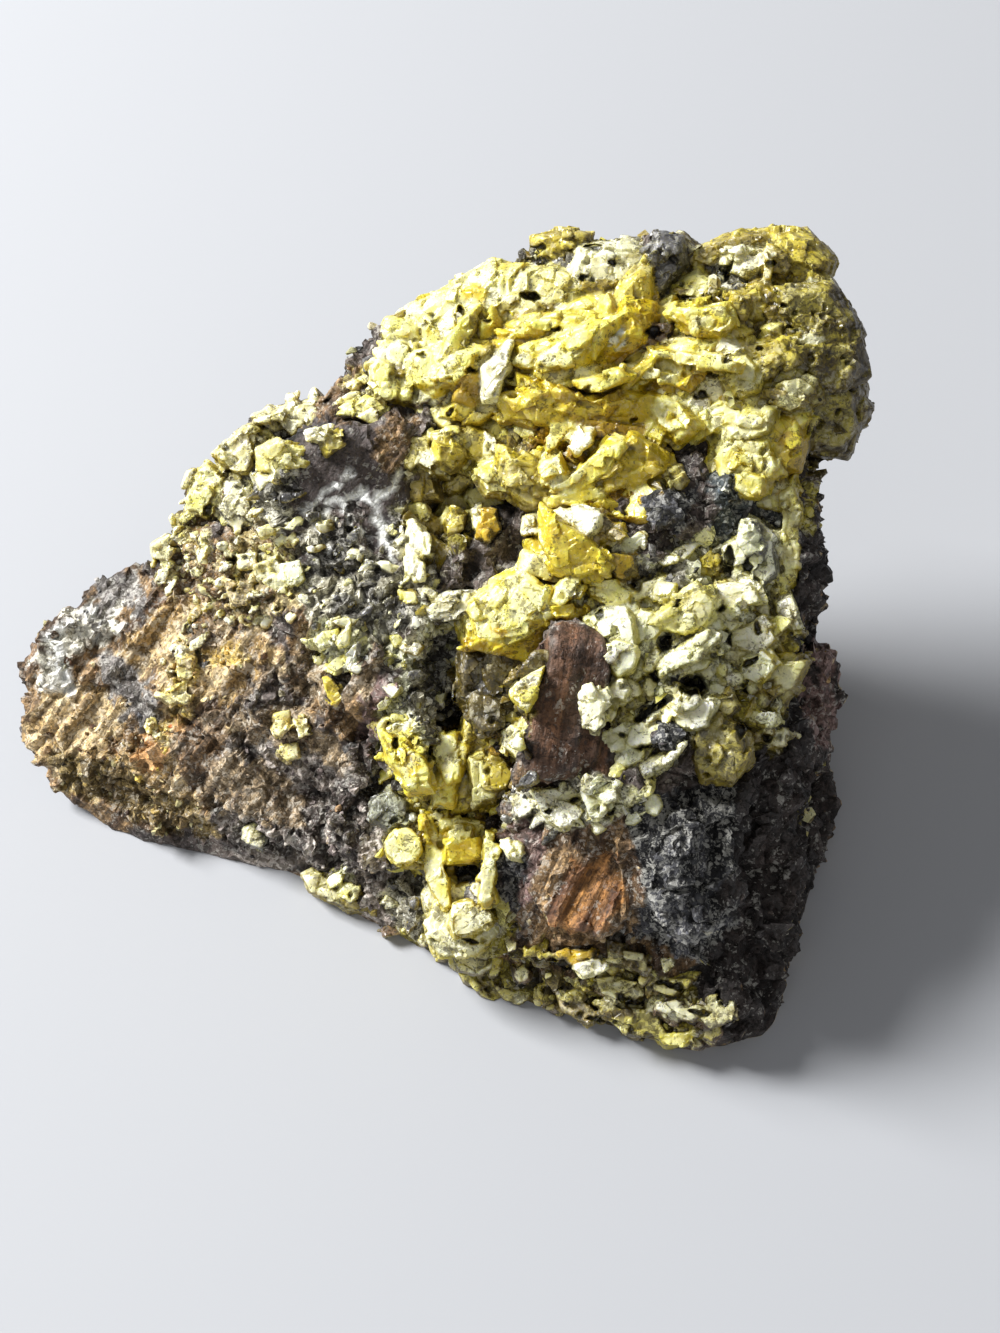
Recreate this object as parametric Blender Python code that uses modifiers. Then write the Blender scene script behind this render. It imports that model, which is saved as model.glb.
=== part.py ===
"""Pyromorphite specimen: a chunk of dark host rock with yellow crystal groups seated in it.

All lengths below are millimetres and are turned into metres as each mesh is made. The specimen is laid out from its
display face: a layout point (u, v) is millimetres to the right and up, seen from EYE, which looks down on the face at
55 degrees. seat() finds where that line of sight meets the rock, so every crystal is seated on the surface itself.
The finished specimen is moved so that the origin is under the middle of its outline, on the plane it rests on.
"""

import math
import random

import bmesh
import bpy
from mathutils import Matrix, Vector, noise
from mathutils.bvhtree import BVHTree

MM = 0.001
GAP = 0.35  # clearance between a crystal group and the rock round it
EYE_ANGLE = math.radians(55.0)
EYE_DISTANCE = 224.0
EYE_SCALE = 203.65  # distance at which one layout unit is one millimetre
FORWARD = Vector((0.0, math.cos(EYE_ANGLE), -math.sin(EYE_ANGLE)))
RIGHT = Vector((1.0, 0.0, 0.0))
UP = Vector((0.0, math.sin(EYE_ANGLE), math.cos(EYE_ANGLE)))
EYE = -FORWARD * EYE_DISTANCE
VOXEL = 1.1
ROCK_TRIANGLES = 1000
NOISE_SEED = 11
REST_HEIGHT = 0.0  # the flat natural break that the rock rests on

# Corner points of the boulders that the rock is hulled from.
MAIN_CORNERS = [
    (28, 16, 46), (18, 19, 48), (4, 20, 46), (-9, 14, 39), (-28, 8, 28), (-33, 2, 23),
    (26, 6, 20), (4, 10, 14), (-15, 8, 10), (-29, 0, 8),
    (29, -5, 35), (29, -17, 27), (22, -29, 23), (9, -31, 25), (-4, -28, 21), (-22, -12, 24), (-13, -22, 18),
    (19, -46, 0), (27, -44, -1), (35, -17, -1), (30, -4, -1), (10, 4, -1), (-14, 2, -1), (-29, -8, -1),
    (-27, -23, -1), (-8, -34, -1), (0, -40, -1), (22, -45, 6), (2, -39, 7),
]
BULGE_CORNERS = [
    (29, 16, 46), (33, 10, 43), (34, 6, 38), (34, 0, 35), (26, 0, 41), (18, 8, 45), (28, 3, 30), (30, 8, 30),
    (20, 14, 40), (22, 0, 34),
]
TAIL_CORNERS = [
    (-49, -6, 11), (-49, -9, 7), (-42, 0, 15), (-36, 0, 18), (-29, 0, 21), (-19, -8, 23), (-47, -18, 2),
    (-39, -22, -1), (-27, -24, -1), (-17, -28, -1), (-10, -27, 9), (-15, -19, 18), (-47, -12, 1), (-34, -4, 0),
    (-20, 0, -1),
]
RIM_CORNERS = [
    (29, -13, 29), (31, -14, 22), (32, -11, 18), (31, -8, 28), (28, -8, 33), (27, -16, 20), (32, -18, 15),
]

# Relief of the display face: (u, v, half width, half height, turn in degrees, rise). A negative rise is a hollow.
RELIEF = [
    (-7.0, 17.5, 7.0, 3.2, -10, -6.5),  # upper cavity
    (-1.5, 13.0, 8.0, 5.0, 0, -4.0),
    (-4.0, -2.0, 5.0, 8.0, 12, -7.5),  # middle cavity
    (-3.5, -12.0, 4.5, 9.0, 8, -6.0),  # lower vein
    (1.5, -9.5, 2.2, 5.0, -10, -4.5),
    (-4.0, -20.5, 3.2, 3.0, 0, -3.5),
    (-13.0, -8.0, 2.2, 9.0, 20, -4.0),  # crevice between the body and the tail
    (-19.0, 1.5, 9.0, 2.2, -38, -2.2),
    (6.5, -4.5, 3.8, 7.5, -8, 2.6),  # brown block
    (15.0, 22.0, 6.0, 2.6, 30, -2.0),
    (3.0, 26.5, 7.0, 2.4, 20, -2.6),
    (2.0, 31.5, 10.0, 4.0, 10, 1.6),
    (-15.0, 18.0, 8.0, 6.0, 0, 0.8),  # dark plate
    (20.0, -2.0, 7.0, 9.0, 0, 1.2),
    (-36.0, 9.5, 3.0, 3.0, 0, -2.0),
    (27.5, 31.5, 5.0, 6.0, 0, 1.2),
    (31.0, 19.5, 2.6, 4.0, 0, -1.5),
    (7.0, -24.0, 7.0, 6.0, 0, 1.0),
    (18.5, -22.0, 6.0, 9.0, 0, 1.2),
    (-30.0, -3.0, 9.0, 7.0, 20, 1.4),
    (-17.0, -18.0, 8.0, 6.0, 30, -1.0),
]

# Crystal groups. Each crystal is (u, v, lift above the rock, width, height, depth, turn, tip, kind):
# width and height lie across the display face, turn spins it in that plane, tip leans it, all in millimetres and degrees.
GROUPS = {
    "crown_crystals": [
        (-4.0, 35.0, 0.2, 11.0, 6.5, 7.0, 22, -20, "chunk"),
        (4.5, 38.0, 0.2, 11.5, 7.0, 8.0, 12, -20, "chunk"),
        (9.5, 41.0, -0.2, 9.0, 5.0, 6.5, 0, -15, "chunk"),
        (8.0, 34.0, 0.7, 11.0, 5.0, 6.0, 26, 5, "chunk"),
        (7.0, 29.6, 1.3, 10.5, 6.4, 6.0, 12, 5, "chunk"),
        (0.3, 29.6, 1.2, 3.6, 5.6, 5.0, -10, -30, "block"),
        (-4.0, 29.0, 0.6, 6.5, 5.5, 5.5, 10, 0, "chunk"),
        (-10.5, 29.4, 0.4, 8.0, 4.6, 5.5, 22, -15, "chunk"),
        (13.5, 33.0, 0.4, 4.6, 8.5, 6.0, -10, 10, "chunk"),
    ],
    "crest_crystals": [
        (20.5, 33.8, 0.9, 5.6, 4.2, 5.0, -8, -20, "block"),
        (17.0, 39.0, -0.2, 6.5, 6.5, 6.0, -15, -20, "chunk"),
        (25.0, 39.0, 0.3, 9.0, 7.5, 7.0, 10, -10, "chunk"),
        (31.0, 36.5, 0.2, 6.5, 8.5, 7.0, -25, 25, "chunk"),
        (32.2, 30.2, 0.4, 6.0, 8.0, 7.0, 10, 30, "chunk"),
        (30.6, 24.8, 0.4, 6.4, 5.6, 6.5, 20, 25, "chunk"),
        (26.5, 31.5, 0.6, 6.5, 7.0, 6.0, 0, 5, "chunk"),
        (28.4, 22.8, 1.0, 4.2, 4.6, 5.0, 15, 10, "hex"),
        (23.8, 25.2, 0.4, 6.0, 5.6, 5.5, -15, 0, "chunk"),
    ],
    "golden_blade_crystals": [
        (15.8, 28.6, 0.9, 9.5, 3.6, 5.0, 34, 0, "blade"),
        (13.0, 24.6, 0.7, 8.5, 5.4, 6.0, 15, -5, "chunk"),
        (9.8, 19.6, 1.6, 8.0, 3.6, 5.5, 32, 5, "blade"),
        (13.6, 19.6, 1.2, 6.0, 5.0, 5.5, -18, 15, "chunk"),
        (4.9, 18.0, 0.9, 5.6, 3.6, 5.0, -5, 10, "chunk"),
    ],
    "ledge_crystals": [
        (-5.0, 21.6, 1.6, 4.8, 3.8, 5.0, -12, 10, "chunk"),
        (-1.0, 19.4, 1.5, 5.0, 3.0, 4.5, -28, 5, "blade"),
        (-7.6, 20.6, 0.9, 3.2, 4.0, 4.5, 10, 0, "chunk"),
    ],
    "heart_crystals": [
        (8.6, 14.4, 1.6, 6.2, 4.2, 5.0, 5, -20, "hex"),
        (9.4, 11.0, 1.4, 6.4, 4.2, 5.5, -12, 15, "chunk"),
        (5.6, 12.6, 0.6, 3.0, 4.4, 4.5, 0, 0, "block"),
        (13.2, 13.2, 0.4, 3.8, 3.8, 4.5, 20, 0, "chunk"),
    ],
    "cavity_crystals": [
        (-1.4, 15.0, 1.8, 3.2, 4.4, 4.5, 12, 10, "block"),
        (-4.8, 15.4, 1.6, 3.4, 5.0, 4.5, -22, 0, "block"),
        (-8.4, 11.6, 1.6, 2.6, 5.6, 4.5, 6, -15, "block"),
    ],
    "wedge_crystals": [
        (1.0, 5.4, 1.8, 8.8, 4.6, 6.0, 14, -20, "chunk"),
        (4.8, 3.4, 1.2, 6.5, 4.6, 6.0, 24, 15, "chunk"),
        (8.0, 6.4, 0.4, 3.8, 3.0, 4.5, -20, 10, "chunk"),
    ],
    "olive_vein_crystals": [
        (-2.0, -3.2, 0.2, 6.0, 6.2, 5.0, 0, 5, "chunk"),
        (0.2, -9.6, 0.9, 4.6, 6.0, 5.0, 5, 10, "chunk"),
        (-4.8, -11.0, 1.5, 5.4, 5.0, 5.0, -30, -25, "chunk"),
        (-9.0, -10.2, 1.0, 2.6, 6.0, 4.0, 18, 0, "block"),
    ],
    "block_crystal": [
        (-4.4, -17.8, 1.8, 5.2, 4.0, 5.0, 3, 5, "block"),
        (-7.4, -20.5, 1.4, 1.5, 7.5, 4.5, 10, 0, "block"),
        (-1.0, -19.6, 1.4, 1.4, 7.0, 4.5, -6, 0, "block"),
    ],
    "bead_crystal": [
        (-10.0, -18.0, 1.2, 3.4, 3.4, 4.0, 10, 0, "hex"),
    ],
    "shard_crystals": [
        (2.2, -3.4, 1.6, 2.6, 3.2, 3.6, 12, -20, "chunk"),
        (1.6, -7.0, 1.6, 2.8, 3.6, 3.6, -8, -20, "chunk"),
    ],
    "right_crust_crystals": [
        (24.2, 7.6, 0.4, 8.5, 7.0, 6.0, -10, -10, "chunk"),
        (28.0, 10.5, 0.2, 4.6, 9.0, 5.5, 3, 0, "chunk"),
        (17.0, 7.6, 0.4, 7.5, 6.5, 5.5, 20, 0, "chunk"),
        (12.4, 2.0, 0.4, 5.5, 8.5, 5.5, -8, 0, "chunk"),
        (20.6, 0.6, 0.5, 10.0, 4.4, 5.0, 30, -10, "chunk"),
        (15.0, -3.6, 0.5, 5.5, 6.0, 5.5, 0, 0, "chunk"),
        (27.2, -0.8, 0.3, 6.0, 9.0, 6.0, -15, 15, "chunk"),
        (22.2, -7.4, 0.9, 5.0, 7.0, 5.5, 12, 10, "chunk"),
        (17.8, -6.0, 0.8, 4.4, 3.8, 4.5, 35, -10, "hex"),
        (16.0, -10.2, 0.4, 6.6, 3.6, 5.0, 28, 0, "chunk"),
    ],
    "shoulder_crystals": [
        (-26.4, 22.0, 0.5, 3.8, 5.2, 4.5, -25, -15, "chunk"),
        (-29.6, 17.2, 0.3, 3.6, 6.4, 4.5, -22, -15, "chunk"),
        (-22.4, 24.2, 0.3, 5.2, 3.2, 4.5, 22, -15, "chunk"),
        (-17.6, 24.4, 0.5, 5.8, 2.8, 4.5, 25, -10, "blade"),
        (-17.2, 21.8, 0.7, 4.0, 2.4, 4.0, 38, 5, "blade"),
    ],
    "flank_crystals": [
        (-22.8, 10.6, 0.5, 4.2, 3.6, 4.0, 0, 0, "chunk"),
        (-26.6, 9.2, 0.4, 4.4, 4.6, 4.0, 25, 0, "chunk"),
        (-29.6, 12.2, 0.3, 3.6, 4.0, 4.0, 0, 0, "chunk"),
    ],
    "bench_crystals": [
        (5.0, -14.4, 0.7, 4.4, 4.0, 4.5, 0, -10, "chunk"),
        (8.6, -14.2, 0.6, 4.8, 3.6, 4.5, 8, -10, "chunk"),
    ],
    "toe_crystals": [
        (-4.2, -27.4, 0.4, 7.5, 5.4, 5.0, -18, 10, "chunk"),
        (0.2, -30.6, 0.3, 5.5, 3.8, 5.0, -10, 15, "chunk"),
        (9.2, -29.8, 0.9, 4.2, 2.6, 4.5, 8, -10, "block"),
        (6.0, -31.6, 0.2, 5.5, 3.6, 5.0, -12, 10, "chunk"),
        (12.5, -31.0, 0.2, 5.0, 4.2, 5.0, -20, 10, "chunk"),
        (16.5, -34.6, 0.1, 6.5, 3.6, 5.0, -12, 10, "chunk"),
    ],
    "tail_tuft_crystals": [
        (-32.0, -1.4, 0.5, 2.6, 4.6, 3.5, 12, -10, "chunk"),
        (-33.6, -5.2, 0.4, 3.6, 2.6, 3.5, 20, -10, "chunk"),
    ],
    "tail_knob_crystals": [
        (-20.2, -7.2, 0.5, 3.6, 4.4, 3.5, 25, 0, "chunk"),
        (-18.0, -5.6, 0.5, 2.8, 3.0, 3.5, 0, 0, "chunk"),
    ],
}

TINTS = {
    "crown_crystals": (0.84, 0.80, 0.30),
    "crest_crystals": (0.62, 0.55, 0.16),
    "golden_blade_crystals": (0.86, 0.70, 0.08),
    "ledge_crystals": (0.66, 0.58, 0.12),
    "heart_crystals": (0.85, 0.70, 0.14),
    "cavity_crystals": (0.60, 0.48, 0.16),
    "wedge_crystals": (0.80, 0.72, 0.22),
    "olive_vein_crystals": (0.50, 0.42, 0.08),
    "block_crystal": (0.80, 0.68, 0.18),
    "bead_crystal": (0.84, 0.74, 0.28),
    "shard_crystals": (0.88, 0.86, 0.58),
    "right_crust_crystals": (0.76, 0.76, 0.44),
    "shoulder_crystals": (0.82, 0.78, 0.40),
    "flank_crystals": (0.80, 0.70, 0.42),
    "bench_crystals": (0.74, 0.74, 0.46),
    "toe_crystals": (0.66, 0.62, 0.26),
    "tail_tuft_crystals": (0.84, 0.68, 0.28),
    "tail_knob_crystals": (0.80, 0.62, 0.22),
}


def clear_scene():
    for obj in list(bpy.data.objects):
        bpy.data.objects.remove(obj, do_unlink=True)


def collection(name):
    made = bpy.data.collections.new(name)
    bpy.context.scene.collection.children.link(made)
    return made


def material(name, colour, roughness):
    made = bpy.data.materials.new(name)
    made.use_nodes = True
    shader = made.node_tree.nodes["Principled BSDF"]
    shader.inputs["Base Color"].default_value = (*colour, 1.0)
    shader.inputs["Roughness"].default_value = roughness
    shader.inputs["Metallic"].default_value = 0.0
    return made


def as_object(name, bm, where):
    """The bmesh, in millimetres, as an object in metres."""
    bmesh.ops.scale(bm, vec=(MM, MM, MM), verts=bm.verts)
    bmesh.ops.recalc_face_normals(bm, faces=bm.faces)
    mesh = bpy.data.meshes.new(name)
    bm.to_mesh(mesh)
    bm.free()
    obj = bpy.data.objects.new(name, mesh)
    where.objects.link(obj)
    return obj


def evaluated(obj, name):
    """The object's mesh with its modifiers applied."""
    bpy.context.view_layer.update()
    graph = bpy.context.evaluated_depsgraph_get()
    mesh = bpy.data.meshes.new_from_object(obj.evaluated_get(graph))
    mesh.name = name
    return mesh


def apply_all(obj):
    mesh = evaluated(obj, obj.name)
    obj.modifiers.clear()
    obj.data = mesh


def hulled(name, corners, where):
    bm = bmesh.new()
    for corner in corners:
        bm.verts.new(corner)
    made = bmesh.ops.convex_hull(bm, input=bm.verts)
    unused = {v for v in made["geom_interior"] + made["geom_unused"] if isinstance(v, bmesh.types.BMVert)}
    bmesh.ops.delete(bm, geom=list(unused), context="VERTS")
    return as_object(name, bm, where)


def remeshed(obj, voxel):
    modifier = obj.modifiers.new("voxels", "REMESH")
    modifier.mode = "VOXEL"
    modifier.voxel_size = voxel * MM
    apply_all(obj)


def layout_of(point):
    """The layout point (u, v) of a point in millimetres."""
    away = point - EYE
    depth = away.dot(FORWARD)
    return away.dot(RIGHT) / depth * EYE_SCALE, away.dot(UP) / depth * EYE_SCALE


def sight(u, v):
    return (FORWARD * EYE_SCALE + RIGHT * u + UP * v).normalized()


def bump(u, v, feature):
    """How far inside a relief feature a layout point is: 1 at the middle, 0 outside."""
    cu, cv, half_w, half_h, turn, _ = feature
    angle = math.radians(turn)
    du, dv = u - cu, v - cv
    along = du * math.cos(angle) + dv * math.sin(angle)
    across = -du * math.sin(angle) + dv * math.cos(angle)
    inside = 1.0 - (along / half_w) ** 2 - (across / half_h) ** 2
    if inside <= 0.0:
        return 0.0
    return min(1.0, inside * 1.6) ** 1.5


def cell_facets(point, size, amount, shift):
    """Rock breaks in planes: each cell of a Voronoi pattern gets its own slope."""
    at = (point + shift) / size
    distances, cells = noise.voronoi(at, distance_metric="DISTANCE", exponent=2.5)
    cell = cells[0]
    slope = noise.noise_vector(cell * 7.31)
    return (at - cell).dot(slope) * amount


def roughen(obj):
    """Relief of the display face, then broken facets and grain over the whole rock."""
    mesh = obj.data
    moved = []
    for vertex in mesh.vertices:
        point = vertex.co / MM
        normal = vertex.normal
        u, v = layout_of(point)
        towards = (EYE - point).normalized()
        facing = max(0.0, min(1.0, (normal.dot(towards) - 0.05) / 0.35))
        rise = sum(bump(u, v, feature) * feature[5] for feature in RELIEF) * facing
        point = point + towards * rise
        facets = cell_facets(point, 11.0, 3.4, Vector((3.0, 1.0, 7.0)))
        facets += cell_facets(point, 5.0, 1.3, Vector((11.0, 5.0, 2.0)))
        grain = noise.fractal(point * 0.16 + Vector((5.0, 9.0, 1.0)), 0.7, 2.0, 4) * 0.9
        reach = min(1.0, max(0.0, (point.z - 0.5) / 3.0))
        moved.append(point + normal * (facets + grain) * (0.25 + 0.75 * reach))
    for vertex, point in zip(mesh.vertices, moved):
        vertex.co = point * MM
    mesh.update()


def rest_cut(obj, height):
    """Cuts the rock flat where it rests and closes the cut."""
    bm = bmesh.new()
    bm.from_mesh(obj.data)
    cut = bmesh.ops.bisect_plane(
        bm, geom=bm.verts[:] + bm.edges[:] + bm.faces[:], dist=1e-7,
        plane_co=(0, 0, height * MM), plane_no=(0, 0, 1), clear_inner=True,
    )
    edges = [g for g in cut["geom_cut"] if isinstance(g, bmesh.types.BMEdge)]
    bmesh.ops.edgeloop_fill(bm, edges=edges)
    bmesh.ops.triangulate(bm, faces=[f for f in bm.faces if len(f.verts) > 4])
    bmesh.ops.recalc_face_normals(bm, faces=bm.faces)
    bm.to_mesh(obj.data)
    bm.free()


def trimmed_above(obj, height):
    """Trims a crystal group that would reach below the plane the rock rests on."""
    if min(v.co.z for v in obj.data.vertices) < height * MM:
        rest_cut(obj, height)


def thinned(obj, triangles):
    count = sum(len(p.vertices) - 2 for p in obj.data.polygons)
    modifier = obj.modifiers.new("thin", "DECIMATE")
    modifier.ratio = min(1.0, triangles / count)
    modifier.use_collapse_triangulate = True
    apply_all(obj)


def build_rock(where, helpers):
    rock = hulled("host_rock", MAIN_CORNERS, where)
    for name, corners in (("bulge", BULGE_CORNERS), ("tail", TAIL_CORNERS), ("rim", RIM_CORNERS)):
        part = hulled(name, corners, helpers)
        part.hide_render = True
        part.display_type = "WIRE"
        joined = rock.modifiers.new(name, "BOOLEAN")
        joined.operation = "UNION"
        joined.object = part
    remeshed(rock, VOXEL)
    roughen(rock)
    remeshed(rock, VOXEL)
    thinned(rock, ROCK_TRIANGLES)
    rest_cut(rock, REST_HEIGHT)
    return rock


def cut_by(bm, normal, distance):
    """Breaks the solid along a plane, keeping the middle."""
    cut = bmesh.ops.bisect_plane(
        bm, geom=bm.verts[:] + bm.edges[:] + bm.faces[:], dist=1e-6,
        plane_co=normal * distance, plane_no=normal, clear_outer=True,
    )
    edges = [g for g in cut["geom_cut"] if isinstance(g, bmesh.types.BMEdge)]
    if edges:
        bmesh.ops.edgenet_fill(bm, edges=edges)


def crystal(name, seat, spec, seed, grow, where):
    """One crystal: a block or a six-sided prism with its corners broken off along flat planes."""
    _, _, _, width, height, depth, turn, tip, kind = spec
    rand = random.Random(seed)
    half = Vector((width, height, depth)) * 0.5
    bm = bmesh.new()
    if kind == "hex":
        bmesh.ops.create_cone(
            bm, cap_ends=True, segments=6, radius1=half.x + grow / math.cos(math.pi / 6),
            radius2=half.x * 0.94 + grow / math.cos(math.pi / 6), depth=depth + 2 * grow,
        )
        bmesh.ops.scale(bm, vec=(1.0, (half.y + grow) / (half.x + grow), 1.0), verts=bm.verts)
        breaks, share = 3, (0.86, 0.97)
    else:
        bmesh.ops.create_cube(bm, size=2.0)
        bmesh.ops.scale(bm, vec=half + Vector((grow, grow, grow)), verts=bm.verts)
        breaks, share = {"block": (3, (0.84, 0.95)), "blade": (3, (0.70, 0.86)), "chunk": (5, (0.64, 0.82))}[kind]
    for _ in range(breaks):
        lean = Vector((rand.uniform(-1, 1), rand.uniform(-1, 1), rand.uniform(-0.35, 1.0)))
        normal = Vector((lean.x / half.x, lean.y / half.y, lean.z / half.z)).normalized()
        reach = abs(normal.x) * half.x + abs(normal.y) * half.y + abs(normal.z) * half.z
        cut_by(bm, normal, reach * rand.uniform(*share) + grow)
    spin = Matrix.Rotation(math.radians(turn), 3, "Z")
    lean = Matrix.Rotation(math.radians(tip), 3, "X") @ Matrix.Rotation(math.radians(rand.uniform(-14, 14)), 3, "Y")
    face = Matrix((RIGHT, UP, -FORWARD)).transposed()
    bmesh.ops.rotate(bm, cent=(0, 0, 0), matrix=face @ spin @ lean, verts=bm.verts)
    bmesh.ops.translate(bm, vec=seat, verts=bm.verts)
    return as_object(name, bm, where)


def bridge(name, a, b, half, grow, where):
    """Massive crystal that joins two neighbours below the surface."""
    bm = bmesh.new()
    bmesh.ops.create_cube(bm, size=2.0)
    length = (b - a).length / 2
    bmesh.ops.scale(bm, vec=(length + grow, half + grow, half + grow), verts=bm.verts)
    bmesh.ops.rotate(bm, cent=(0, 0, 0), matrix=(b - a).to_track_quat("X", "Z").to_matrix(), verts=bm.verts)
    bmesh.ops.translate(bm, vec=(a + b) / 2, verts=bm.verts)
    return as_object(name, bm, where)


def seat_of(tree, u, v, sink):
    """Where the line of sight through a layout point meets the rock, sunk along it.

    A layout point just past the outline of the rock takes the surface at the nearest point inside it.
    """
    along = sight(u, v)
    for step in range(40):
        inward = sight(u * (1 - 0.01 * step), v + (4.0 - v) * 0.01 * step)
        hit, normal, _, _ = tree.ray_cast(EYE * MM, inward)
        if hit is not None and normal.dot(-inward) > 0.2:
            depth = (hit / MM - EYE).dot(along)
            return EYE + along * (depth + sink)
    raise ValueError(f"no rock near the layout point {u}, {v}")


def group_pieces(tag, specs, seats, grow, where):
    """The crystals of one group and the massive crystal that joins them, as overlapping solids."""
    made = []
    for index, (spec, seat) in enumerate(zip(specs, seats)):
        made.append(crystal(f"{tag}_{index}", seat, spec, f"{tag}{index}", grow, where))
    linked = [0]
    for index in range(1, len(seats)):
        nearest = min(linked, key=lambda other: (seats[other] - seats[index]).length)
        half = 0.24 * min(specs[index][3], specs[index][4], specs[nearest][3], specs[nearest][4], 5.0) + 0.25
        down = FORWARD * (0.6 + 0.12 * min(specs[index][5], specs[nearest][5]))
        made.append(bridge(f"{tag}_join{index}", seats[nearest] + down, seats[index] + down, half, grow, where))
        linked.append(index)
    return made


def united(name, pieces, where):
    first = pieces[0]
    for piece in pieces[1:]:
        modifier = first.modifiers.new("join", "BOOLEAN")
        modifier.operation = "UNION"
        modifier.object = piece
    mesh = evaluated(first, name)
    for piece in pieces:
        bpy.data.objects.remove(piece, do_unlink=True)
    obj = bpy.data.objects.new(name, mesh)
    where.objects.link(obj)
    return obj


def cut_away(obj, cutter):
    modifier = obj.modifiers.new("pocket", "BOOLEAN")
    modifier.operation = "DIFFERENCE"
    modifier.object = cutter
    apply_all(obj)


def keep_largest(obj):
    """Drops crumbs that a cut leaves loose."""
    bm = bmesh.new()
    bm.from_mesh(obj.data)
    bm.faces.ensure_lookup_table()
    seen, shells = set(), []
    for face in bm.faces:
        if face.index in seen:
            continue
        stack, shell = [face], []
        seen.add(face.index)
        while stack:
            current = stack.pop()
            shell.append(current)
            for edge in current.edges:
                for other in edge.link_faces:
                    if other.index not in seen:
                        seen.add(other.index)
                        stack.append(other)
        shells.append(shell)
    shells.sort(key=lambda shell: -sum(f.calc_area() for f in shell))
    loose = [f for shell in shells[1:] for f in shell]
    if loose:
        bmesh.ops.delete(bm, geom=loose, context="FACES")
        bm.to_mesh(obj.data)
    bm.free()
    return len(shells)


def centre_over_base(objects):
    points = [obj.matrix_world @ v.co for obj in objects for v in obj.data.vertices]
    low = Vector(min(p[i] for p in points) for i in range(3))
    high = Vector(max(p[i] for p in points) for i in range(3))
    shift = Vector((-(low.x + high.x) / 2, -(low.y + high.y) / 2, -low.z))
    for obj in objects:
        obj.data.transform(Matrix.Translation(shift))
    triangles = sum(len(p.vertices) - 2 for obj in objects for p in obj.data.polygons)
    print(triangles, "triangles")
    print("moved by", [round(s / MM, 4) for s in shift], "mm; size", [round(s / MM, 2) for s in high - low])
    return shift


def main():
    clear_scene()
    noise.seed_set(NOISE_SEED)
    specimen = collection("pyromorphite_specimen")
    helpers = collection("helpers")
    helpers.hide_render = True
    rock = build_rock(specimen, helpers)
    rock.data.materials.clear()
    rock.data.materials.append(material("host_rock", (0.16, 0.13, 0.11), 0.85))
    tree = BVHTree.FromObject(rock, bpy.context.evaluated_depsgraph_get())
    groups = []
    for tag, specs in GROUPS.items():
        seats = [seat_of(tree, s[0], s[1], 0.5 * s[5] - s[2] - 1.1) for s in specs]
        solid = united(tag, group_pieces(tag, specs, seats, 0.0, helpers), specimen)
        pocket = united(tag + "_pocket", group_pieces(tag, specs, seats, GAP, helpers), helpers)
        pocket.hide_render = True
        pocket.display_type = "WIRE"
        for earlier, room in groups:
            cut_away(solid, room)
        trimmed_above(solid, REST_HEIGHT + GAP)
        cut_away(rock, pocket)
        groups.append((solid, pocket))
        solid.data.materials.clear()
        solid.data.materials.append(material(tag, TINTS[tag], 0.32))
        shells = keep_largest(solid)
        print(tag, "shells", shells, "faces", len(solid.data.polygons))
    print("rock shells", keep_largest(rock), "faces", len(rock.data.polygons))
    for _, pocket in groups:
        bpy.data.objects.remove(pocket, do_unlink=True)
    specimen["layout_origin"] = centre_over_base([rock] + [solid for solid, _ in groups])


main()
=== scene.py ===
"""Looks of the pyromorphite specimen: fine rock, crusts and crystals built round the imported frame."""

import math
import random

import bmesh
import bpy
import numpy as np
from mathutils import Matrix, Vector, noise
from mathutils.bvhtree import BVHTree


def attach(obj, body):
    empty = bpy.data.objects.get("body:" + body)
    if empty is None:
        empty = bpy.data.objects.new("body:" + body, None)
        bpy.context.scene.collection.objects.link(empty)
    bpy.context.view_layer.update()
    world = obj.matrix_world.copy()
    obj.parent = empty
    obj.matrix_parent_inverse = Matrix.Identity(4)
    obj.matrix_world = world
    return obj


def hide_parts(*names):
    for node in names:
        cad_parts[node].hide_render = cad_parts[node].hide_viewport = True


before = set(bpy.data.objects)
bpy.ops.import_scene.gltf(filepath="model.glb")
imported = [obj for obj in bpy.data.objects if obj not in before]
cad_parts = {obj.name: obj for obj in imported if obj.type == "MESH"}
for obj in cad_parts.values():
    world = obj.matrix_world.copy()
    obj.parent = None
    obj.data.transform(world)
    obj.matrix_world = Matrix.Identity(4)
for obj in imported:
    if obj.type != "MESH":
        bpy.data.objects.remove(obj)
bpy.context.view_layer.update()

MM = 0.001
SHIFT = np.array((7.4019, 11.9395, 0.0))  # from the layout to the frame, mm
EYE_ANGLE = math.radians(55.0)
EYE_DISTANCE = 224.0
EYE_SCALE = 203.65
FORWARD = Vector((0.0, math.cos(EYE_ANGLE), -math.sin(EYE_ANGLE)))
RIGHT = Vector((1.0, 0.0, 0.0))
UP = Vector((0.0, math.sin(EYE_ANGLE), math.cos(EYE_ANGLE)))
EYE = -FORWARD * EYE_DISTANCE
nF, nR, nU, nE = (np.array(tuple(v)) for v in (FORWARD, RIGHT, UP, EYE))


# ---------------------------------------------------------------- numbers

def lin(code):
    """A hex colour as linear RGB."""
    out = []
    for i in (0, 2, 4):
        c = int(code[i:i + 2], 16) / 255.0
        out.append(c / 12.92 if c <= 0.04045 else ((c + 0.055) / 1.055) ** 2.4)
    return np.array(out)


def seeded(seed):
    return np.uint32((seed * 2654435761) & 0xFFFFFFFF)


def neighbours(whole, steps):
    """For each axis, the first half of the hash for each of the neighbouring whole numbers."""
    whole = whole.astype(np.int64).astype(np.uint32)
    return [[(whole[:, axis] + np.uint32(step & 0xFFFFFFFF)) * np.uint32(prime) for step in steps]
            for axis, prime in enumerate((0x8DA6B343, 0xD8163841, 0xCB1AB31F))]


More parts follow.
